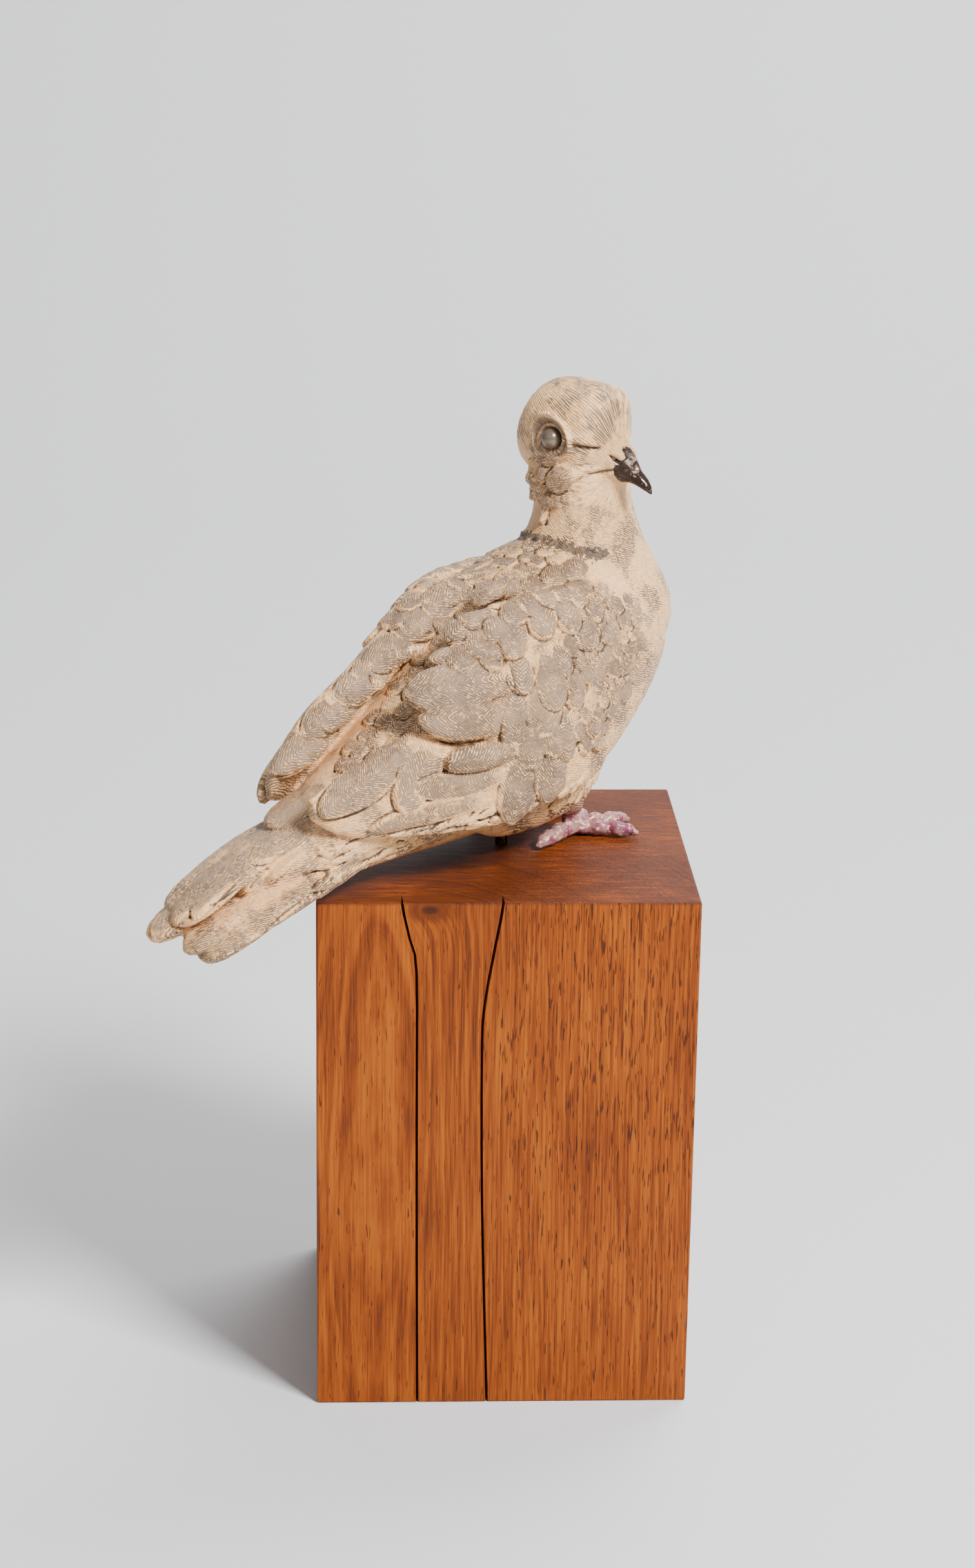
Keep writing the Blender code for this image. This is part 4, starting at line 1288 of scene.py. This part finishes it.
class Shading:
    """A material under construction, whose methods add nodes and give back their outputs."""

    def __init__(self, name: str) -> None:
        """Starts a material.

        Args:
            name: Its name.
        """
        self.material = bpy.data.materials.new(name)
        self.material.use_nodes = True
        self.tree = self.material.node_tree
        self.shader = self.tree.nodes["Principled BSDF"]

    def link(self, value: object, socket: bpy.types.NodeSocket) -> None:
        """Joins an output to a socket, or sets the socket.

        Args:
            value: An output, a number, or a colour or vector.
            socket: The socket that takes it.
        """
        if isinstance(value, bpy.types.NodeSocket):
            self.tree.links.new(value, socket)
        elif value is not None:
            socket.default_value = value

    def math(
        self, operation: str, first: object, second: object = None, third: object = None
    ) -> bpy.types.NodeSocket:
        """Adds a sum.

        Args:
            operation: What it does.
            first: The first value.
            second: The second value.
            third: The third value.

        Returns:
            The result.
        """
        node = self.tree.nodes.new("ShaderNodeMath")
        node.operation = operation
        for value, socket in zip((first, second, third), node.inputs):
            self.link(value, socket)
        return node.outputs[0]

    def smooth_step(self, value: object, low: float, high: float) -> bpy.types.NodeSocket:
        """Turns a value into a share that rises smoothly between two limits.

        Args:
            value: The value.
            low: Where the share starts to rise.
            high: Where it is 1.

        Returns:
            The share.
        """
        node = self.tree.nodes.new("ShaderNodeMapRange")
        node.interpolation_type = "SMOOTHSTEP"
        self.link(value, node.inputs["Value"])
        node.inputs["From Min"].default_value = low
        node.inputs["From Max"].default_value = high
        return node.outputs["Result"]

    def mix(self, share: object, low: object, high: object) -> bpy.types.NodeSocket:
        """Mixes two colours.

        Args:
            share: How much of the second there is.
            low: The first colour.
            high: The second colour.

        Returns:
            The mixed colour.
        """
        node = self.tree.nodes.new("ShaderNodeMix")
        node.data_type = "RGBA"
        self.link(share, node.inputs[0])
        self.link(low, node.inputs[6])
        self.link(high, node.inputs[7])
        return node.outputs[2]

    def objects(self) -> bpy.types.NodeSocket:
        """Gives places on the object, in metres."""
        return self.tree.nodes.new("ShaderNodeTexCoord").outputs["Object"]

    def mapped(self, vector: object, scale: Point, location: Point = (0, 0, 0)) -> bpy.types.NodeSocket:
        """Scales and moves places.

        Args:
            vector: The places.
            scale: How much each axis is scaled.
            location: How far they are moved after that.

        Returns:
            The new places.
        """
        node = self.tree.nodes.new("ShaderNodeMapping")
        self.link(vector, node.inputs["Vector"])
        node.inputs["Scale"].default_value = scale
        node.inputs["Location"].default_value = location
        return node.outputs["Vector"]

    def noise(self, vector: object, scale: float, detail: float, rough: float) -> bpy.types.NodeSocket:
        """Adds a cloudy pattern.

        Args:
            vector: The places that it is read at.
            scale: How fine it is.
            detail: How many finer layers it has.
            rough: How strong they are.

        Returns:
            The pattern, about 0.5 on average.
        """
        node = self.tree.nodes.new("ShaderNodeTexNoise")
        self.link(vector, node.inputs["Vector"])
        node.inputs["Scale"].default_value = scale
        node.inputs["Detail"].default_value = detail
        node.inputs["Roughness"].default_value = rough
        return node.outputs["Fac"]

    def attribute(self, name: str) -> list[bpy.types.NodeSocket]:
        """Reads a mesh attribute.

        Args:
            name: Its name.

        Returns:
            Its three values.
        """
        node = self.tree.nodes.new("ShaderNodeVertexColor")
        node.layer_name = name
        split = self.tree.nodes.new("ShaderNodeSeparateColor")
        self.link(node.outputs["Color"], split.inputs[0])
        return list(split.outputs)

    def map_of(self, name: str) -> bpy.types.NodeSocket:
        """Reads a map of the mesh.

        Args:
            name: Its name.

        Returns:
            The map's places.
        """
        node = self.tree.nodes.new("ShaderNodeUVMap")
        node.uv_map = name
        return node.outputs["UV"]

    def raise_by(self, height: object, distance: float, strength: float) -> None:
        """Gives the surface a fine relief.

        Args:
            height: The relief's height.
            distance: How high it is, in metres.
            strength: How strongly it shows.
        """
        node = self.tree.nodes.new("ShaderNodeBump")
        node.inputs["Strength"].default_value = strength
        node.inputs["Distance"].default_value = distance
        self.link(height, node.inputs["Height"])
        self.link(node.outputs["Normal"], self.shader.inputs["Normal"])


@dataclass(frozen=True)
class PaintedBronze:
    """Cream and grey-brown paint, rubbed back over combed bronze, with painted shade in the hollows and
    grooves.
    """

    cream: tuple[float, ...] = linear(244, 186, 122)
    pale: tuple[float, ...] = linear(255, 207, 152)
    grey: tuple[float, ...] = linear(156, 126, 98)
    shade: tuple[float, ...] = linear(122, 97, 75)
    # Dark brown of the painted shade in the hollows and along the grooves under feather tips.
    painted_shade: tuple[float, ...] = linear(66, 47, 32)
    collar: tuple[float, ...] = linear(58, 52, 48)
    pink: tuple[float, ...] = linear(160, 116, 112)
    magenta: tuple[float, ...] = linear(128, 58, 84)
    eye: tuple[float, ...] = linear(122, 108, 94)
    bronze: tuple[float, ...] = linear(58, 42, 35)
    worn: tuple[float, ...] = linear(180, 144, 120)
    comb_pitch: float = 0.78

    def material(self) -> bpy.types.Material:
        """Builds the paint."""
        s = Shading("painted_bronze")
        places = s.objects()
        grey, hollow, collar = s.attribute("paint")
        bill, foot, eye = s.attribute("parts")
        crack, bare, _ = s.attribute("borders")
        hollow = s.math("MULTIPLY_ADD", hollow, 2.0, -1.0)
        comb = s.map_of("comb")
        cloud = s.noise(places, 95.0, 4.0, 0.6)
        fleck = s.noise(places, 620.0, 3.0, 0.6)
        ridge = self.ridges(s, comb)
        flecked = s.math("MULTIPLY_ADD", fleck, 0.25, grey)
        flat = s.smooth_step(s.math("MULTIPLY_ADD", cloud, 0.9, flecked), 0.78, 1.24)
        groove = s.math("SUBTRACT", 1.0, s.smooth_step(ridge, 0.2, 0.42))
        blotch = s.noise(places, 210.0, 3.0, 0.6)
        worn = s.math("MULTIPLY_ADD", s.smooth_step(blotch, 0.4, 0.62), 0.62, 0.36)
        left = s.math("MULTIPLY_ADD", s.math("MULTIPLY", groove, worn), -1.0, 1.0)
        on_flat = s.math("MULTIPLY", flat, left)
        patches = s.smooth_step(s.noise(places, 62.0, 4.0, 0.66), 0.42, 0.58)
        ragged = s.math("MULTIPLY_ADD", patches, 0.3, s.math("MULTIPLY_ADD", fleck, 0.3, ridge))
        stroke = s.smooth_step(ragged, 0.74, 0.94)
        stroke = s.math("MULTIPLY", stroke, s.math("MULTIPLY_ADD", patches, 0.68, 0.3))
        on_plain = s.math("MULTIPLY", stroke, s.math("SUBTRACT", 1.0, flat))
        share = s.math("ADD", on_flat, on_plain)
        share = s.math("SUBTRACT", share, s.math("MULTIPLY", crack, 0.4))
        share = s.smooth_step(share, 0.0, 0.95)
        base = s.mix(s.smooth_step(fleck, 0.35, 0.7), self.cream, self.pale)
        colour = s.mix(share, base, s.mix(s.smooth_step(cloud, 0.38, 0.62), self.shade, self.grey))
        # Painted shade: the hollows between raised forms are darkened, standing in for the shade that falls
        # in them.
        deep = s.math("MULTIPLY_ADD", fleck, 0.25, hollow)
        colour = s.mix(s.math("MULTIPLY", s.smooth_step(deep, 0.25, 0.6), 0.75), colour, self.painted_shade)
        # Painted shadow: a dark line along the grooves under overhanging feather tips and round each eye.
        crack_shadow = s.smooth_step(s.math("MULTIPLY_ADD", fleck, 0.6, crack), 0.62, 0.98)
        colour = s.mix(s.math("MULTIPLY", crack_shadow, 0.85), colour, self.painted_shade)
        speckled = s.math("ADD", collar, s.math("MULTIPLY_ADD", fleck, 2.6, -1.3))
        rough_dark = s.smooth_step(speckled, 0.42, 0.66)
        colour = s.mix(s.math("MULTIPLY", rough_dark, 0.85), colour, self.collar)
        feet = s.mix(s.smooth_step(blotch, 0.47, 0.6), self.pink, self.magenta)
        feet = s.mix(s.smooth_step(fleck, 0.56, 0.66), feet, self.pale)
        colour = s.mix(foot, colour, feet)
        rubbed = s.smooth_step(s.noise(places, 300.0, 4.0, 0.7), 0.54, 0.62)
        bill = s.smooth_step(s.math("MULTIPLY_ADD", fleck, 1.0, bill), 0.85, 1.05)
        colour = s.mix(bill, colour, s.mix(rubbed, self.bronze, self.worn))
        colour = s.mix(eye, colour, self.eye)
        s.link(colour, s.shader.inputs["Base Color"])
        gloss = s.math("MULTIPLY_ADD", share, -0.1, 0.44)
        gloss = s.math("SUBTRACT", gloss, s.math("MULTIPLY", eye, 0.16))
        gloss = s.math("SUBTRACT", gloss, s.math("MULTIPLY", bill, 0.22))
        s.link(gloss, s.shader.inputs["Roughness"])
        s.link(s.math("MULTIPLY", s.math("MAXIMUM", bill, eye), 0.5), s.shader.inputs["Metallic"])
        smoothed = s.math("MAXIMUM", s.math("MAXIMUM", bill, eye), s.math("MAXIMUM", foot, bare))
        smoothed = s.math("SUBTRACT", 1.0, smoothed)
        marks = s.math("MULTIPLY_ADD", fleck, 0.4, ridge)
        height = s.math("MULTIPLY", marks, s.math("MULTIPLY_ADD", smoothed, 0.94, 0.06))
        s.raise_by(height, 0.00038, 1.0)
        return s.material

    def ridges(self, s: "Shading", comb: bpy.types.NodeSocket) -> bpy.types.NodeSocket:
        """Draws the ridges that a comb leaves, uneven and broken.

        Args:
            s: The material under construction.
            comb: Places across the comb lines and along them, in millimetres.

        Returns:
            The ridges' height, 0 to 1.
        """
        split = s.tree.nodes.new("ShaderNodeSeparateXYZ")
        s.link(comb, split.inputs[0])
        sway = s.math("MULTIPLY", s.noise(s.mapped(comb, (0.3, 0.3, 1.0)), 1.0, 3.0, 0.55), 14.0)
        phase = s.math("MULTIPLY_ADD", split.outputs[0], 2 * math.pi / self.comb_pitch, sway)
        wave = s.math("MULTIPLY_ADD", s.math("SINE", phase), 0.5, 0.5)
        hatch = s.smooth_step(s.noise(s.mapped(comb, (1.6, 0.62, 1.0)), 1.0, 3.0, 0.65), 0.34, 0.66)
        return s.math("ADD", s.math("MULTIPLY", wave, 0.45), s.math("MULTIPLY", hatch, 0.55))


@dataclass(frozen=True)
class OiledWood:
    """Oiled, open-grained wood with upright grain."""

    light: tuple[float, ...] = linear(160, 83, 5)
    middle: tuple[float, ...] = linear(134, 60, 0)
    dark: tuple[float, ...] = linear(84, 34, 0)
    pore: tuple[float, ...] = linear(48, 16, 4)
    end_grain: tuple[float, ...] = linear(78, 29, 4)
    pith: tuple[float, float] = (-0.046, -0.088)
    knot: Point = (-0.0266, -0.063, 0.1845)

    def material(self) -> bpy.types.Material:
        """Builds the wood."""
        s = Shading("oiled_wood")
        places = s.objects()
        split = s.tree.nodes.new("ShaderNodeSeparateXYZ")
        s.link(places, split.inputs[0])
        x, y, z = split.outputs
        cloud = s.noise(s.mapped(places, (1.0, 1.0, 0.4)), 34.0, 3.0, 0.55)
        whorl = self.whorl(s, places, cloud)
        band = self.rings(s, places, x, y, z, whorl)
        grain = s.noise(s.mapped(places, (1.0, 1.0, 0.025)), 1000.0, 4.0, 0.7)
        fibre = s.noise(s.mapped(places, (1.0, 1.0, 0.018)), 2600.0, 2.0, 0.6)
        tone = s.math("ADD", s.math("MULTIPLY", band, 0.2), s.math("MULTIPLY", grain, 0.5))
        tone = s.math("ADD", tone, s.math("MULTIPLY_ADD", cloud, 0.26, s.math("MULTIPLY", fibre, 0.3)))
        colour = s.mix(s.smooth_step(tone, 0.44, 0.66), self.dark, self.middle)
        colour = s.mix(s.smooth_step(tone, 0.6, 0.8), colour, self.light)
        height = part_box("plinth")[1].z
        top = s.smooth_step(z, height - 0.0012, height - 0.0001)
        saw = s.noise(s.mapped(places, (0.16, 1.0, 1.0)), 520.0, 4.0, 0.7)
        saw = s.math("MULTIPLY_ADD", cloud, 0.5, saw)
        sawn = s.mix(s.smooth_step(saw, 0.58, 0.92), self.pore, self.end_grain)
        sawn = s.mix(s.smooth_step(saw, 0.74, 1.05), sawn, self.middle)
        colour = s.mix(s.math("MULTIPLY", top, 0.74), colour, sawn)
        right = s.smooth_step(s.math("MULTIPLY_ADD", cloud, 0.02, x), -0.004, 0.016)
        upper = s.smooth_step(z, 0.02, 0.15)
        limit = s.math("MULTIPLY_ADD", right, s.math("MULTIPLY_ADD", upper, -0.045, -0.045), 0.735)
        limit = s.math("MULTIPLY_ADD", band, -0.05, limit)
        dash = s.noise(s.mapped(places, (1.0, 1.0, 0.075)), 1900.0, 1.0, 0.4)
        pores = s.smooth_step(s.math("SUBTRACT", dash, limit), 0.0, 0.03)
        colour = s.mix(s.math("MULTIPLY", pores, 0.8), colour, self.pore)
        rim = s.math("SUBTRACT", 1.0, s.smooth_step(whorl, 0.75, 1.5))
        colour = s.mix(s.math("MULTIPLY", rim, 0.75), colour, self.dark)
        heart = s.math("SUBTRACT", 1.0, s.smooth_step(whorl, 0.35, 0.62))
        colour = s.mix(s.math("MULTIPLY", heart, 0.8), colour, self.pore)
        s.link(colour, s.shader.inputs["Base Color"])
        gloss = s.math("MULTIPLY_ADD", grain, 0.2, 0.36)
        s.link(s.math("MULTIPLY_ADD", top, 0.12, gloss), s.shader.inputs["Roughness"])
        s.shader.inputs["Specular IOR Level"].default_value = 0.22
        s.raise_by(s.math("SUBTRACT", s.math("MULTIPLY", grain, 0.5), pores), 0.0002, 0.7)
        return s.material

    def whorl(self, s: "Shading", places: object, cloud: object) -> bpy.types.NodeSocket:
        """Says how far each place is from the knot, in knot widths.

        Args:
            s: The material under construction.
            places: Places on the block.
            cloud: A soft pattern that makes the knot uneven.

        Returns:
            The distance, under 1 inside the knot.
        """
        knot = s.tree.nodes.new("ShaderNodeVectorMath")
        knot.operation = "LENGTH"
        size = (1 / 0.0085, 1 / 0.014, 1 / 0.0046)
        centre = tuple(-place * scale for place, scale in zip(self.knot, size))
        s.link(s.mapped(places, size, centre), knot.inputs[0])
        return s.math("ADD", knot.outputs["Value"], s.math("MULTIPLY", cloud, 0.35))

    def rings(
        self, s: "Shading", places: object, x: object, y: object, z: object, whorl: object
    ) -> bpy.types.NodeSocket:
        """Draws the growth rings, uneven in width and bent round the knot.

        Args:
            s: The material under construction.
            places: Places on the block.
            x: Their place across it.
            y: Their place from front to back.
            z: Their height.
            whorl: How far they are from the knot.

        Returns:
            The rings, 0 to 1.
        """
        sway = s.noise(s.mapped(places, (1.0, 1.0, 0.14)), 24.0, 2.0, 0.5)
        off_x = s.math("SUBTRACT", x, self.pith[0])
        off_y = s.math("SUBTRACT", y, self.pith[1])
        far = s.math("SQRT", s.math("MULTIPLY_ADD", off_x, off_x, s.math("MULTIPLY", off_y, off_y)))
        near_knot = s.math("DIVIDE", 0.006, s.math("ADD", s.math("MULTIPLY", whorl, whorl), 1.2))
        ring = s.math("ADD", s.math("MULTIPLY_ADD", sway, 0.012, far), near_knot)
        line = s.tree.nodes.new("ShaderNodeCombineXYZ")
        s.link(ring, line.inputs[0])
        s.link(s.math("MULTIPLY", z, 0.02), line.inputs[1])
        return s.smooth_step(s.noise(line.outputs[0], 900.0, 4.0, 0.6), 0.3, 0.7)


@dataclass(frozen=True)
class DarkBronze:
    """Bare bronze, darkened with age."""

    dark: tuple[float, ...] = linear(66, 48, 36)
    bright: tuple[float, ...] = linear(128, 92, 58)

    def material(self) -> bpy.types.Material:
        """Builds the bronze."""
        s = Shading("dark_bronze")
        places = s.objects()
        cloud = s.noise(places, 420.0, 4.0, 0.6)
        turned = s.noise(s.mapped(places, (0.2, 0.2, 4.0)), 900.0, 2.0, 0.5)
        s.link(s.mix(s.smooth_step(cloud, 0.4, 0.65), self.dark, self.bright), s.shader.inputs["Base Color"])
        s.shader.inputs["Metallic"].default_value = 1.0
        s.link(s.math("MULTIPLY_ADD", cloud, 0.3, 0.22), s.shader.inputs["Roughness"])
        s.raise_by(turned, 0.00005, 0.5)
        return s.material


@dataclass(frozen=True)
class Backdrop:
    """Plain pale paper that sweeps from the floor up behind the statue."""

    grey: tuple[float, ...] = linear(216, 217, 219)
    shade: tuple[float, ...] = (0.6, 0.6, 0.6, 1.0)

    def material(self) -> bpy.types.Material:
        """Builds the paper."""
        s = Shading("pale_paper")
        tone = s.math("MULTIPLY", s.noise(s.objects(), 3.0, 2.0, 0.5), 0.04)
        s.link(s.mix(tone, self.grey, self.shade), s.shader.inputs["Base Color"])
        s.shader.inputs["Roughness"].default_value = 0.9
        return s.material


@dataclass
class Studio:
    """The floor, the lights and the camera.

    Attributes:
        floor_size: How far the floor reaches each way, in metres.
        wall_at: How far behind the statue the paper starts to rise.
        wall_height: How high it rises.
        bend: How wide its rounded corner is.
        camera_at: Where the camera stands.
        pitch: How far it looks down, in degrees.
        yaw: How far it looks towards +X.
        roll: How far it is rolled.
        lens: Its focal length for a sensor 36 mm high.
    """

    floor_size: float = 4.0
    wall_at: float = 2.5
    wall_height: float = 3.0
    bend: float = 1.2
    camera_at: Point = (-0.05351, -1.08395, 0.55389)
    pitch: float = 17.638
    yaw: float = 2.554
    roll: float = 0.801
    lens: float = 74.26

    def paper(self) -> bpy.types.Object:
        """Builds the floor and the wall as one sheet with a rounded corner."""
        bpy.ops.object.select_all(action="DESELECT")
        bpy.ops.mesh.primitive_plane_add(size=1.0)
        sheet = bpy.context.active_object
        sheet.name = "pale_floor"
        mesh = sheet.data
        corners = [(-1, -1), (1, -1), (-1, 1), (1, 1)]
        for vertex, (across, back) in zip(mesh.vertices, corners):
            y = self.wall_at if back > 0 else -self.floor_size
            vertex.co = (across * self.floor_size, y, 0.0)
        bpy.ops.object.mode_set(mode="EDIT")
        bpy.ops.mesh.select_all(action="DESELECT")
        bpy.ops.mesh.select_mode(type="EDGE")
        bpy.ops.object.mode_set(mode="OBJECT")
        for edge in mesh.edges:
            edge.select = all(mesh.vertices[i].co.y > 0 for i in edge.vertices)
        bpy.ops.object.mode_set(mode="EDIT")
        bpy.ops.mesh.extrude_region_move(TRANSFORM_OT_translate={"value": (0, 0.02, self.wall_height)})
        bpy.ops.object.mode_set(mode="OBJECT")
        bend = sheet.modifiers.new("bend", "BEVEL")
        bend.affect = "EDGES"
        bend.width = self.bend
        bend.segments = 24
        bend.limit_method = "ANGLE"
        Dove.apply_modifiers(sheet)
        mesh.shade_smooth()
        mesh.materials.append(Backdrop().material())
        return sheet

    def light(self, name: str, at: Point, aim: Point, size: float, energy: float) -> None:
        """Adds a soft square light.

        Args:
            name: Its name.
            at: Where it hangs.
            aim: What it points at.
            size: How wide it is.
            energy: Its power in watts.
        """
        data = bpy.data.lights.new(name, "AREA")
        data.size = size
        data.energy = energy
        lamp = bpy.data.objects.new(name, data)
        bpy.context.scene.collection.objects.link(lamp)
        lamp.location = at
        lamp.rotation_euler = (Vector(aim) - Vector(at)).to_track_quat("-Z", "Y").to_euler()

    def camera(self) -> None:
        """Adds the camera, at the photograph's viewing angle."""
        data = bpy.data.cameras.new("camera")
        data.sensor_fit = "VERTICAL"
        data.sensor_height = 36.0
        data.lens = self.lens
        item = bpy.data.objects.new("camera", data)
        bpy.context.scene.collection.objects.link(item)
        turn = Matrix.Rotation(-math.radians(self.yaw), 4, "Z")
        turn = turn @ Matrix.Rotation(math.pi / 2 - math.radians(self.pitch), 4, "X")
        turn = turn @ Matrix.Rotation(math.radians(self.roll), 4, "Z")
        turn.translation = self.camera_at
        item.matrix_world = turn
        bpy.context.scene.camera = item

    def world(self) -> None:
        """Sets the even light that comes from all round."""
        world = bpy.data.worlds.new("studio")
        world.use_nodes = True
        background = world.node_tree.nodes["Background"]
        background.inputs["Color"].default_value = (1.0, 1.0, 1.0, 1.0)
        background.inputs["Strength"].default_value = 0.26
        bpy.context.scene.world = world

    def build(self) -> bpy.types.Object:
        """Builds the studio and returns its paper."""
        self.world()
        for light in LIGHTS:
            self.light(*light)
        self.camera()
        return self.paper()


def main() -> None:
    """Builds the pieces in order and reports each."""
    logging.basicConfig(level=logging.INFO, format="%(message)s")
    dove = Dove().build(PaintedBronze())
    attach(dove, "root")
    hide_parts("dove")
    LOG.info("dove_body: %d triangles", len(dove.data.polygons))
    for node, finish in (("plinth", OiledWood()), ("support_rod", DarkBronze())):
        item = frame["nodes"][node]
        item.data.materials.clear()
        item.data.materials.append(finish.material())
        LOG.info("%s: dressed", node)
    paper = Studio().build()
    LOG.info("studio: ready")


if __name__ == "__main__":
    main()
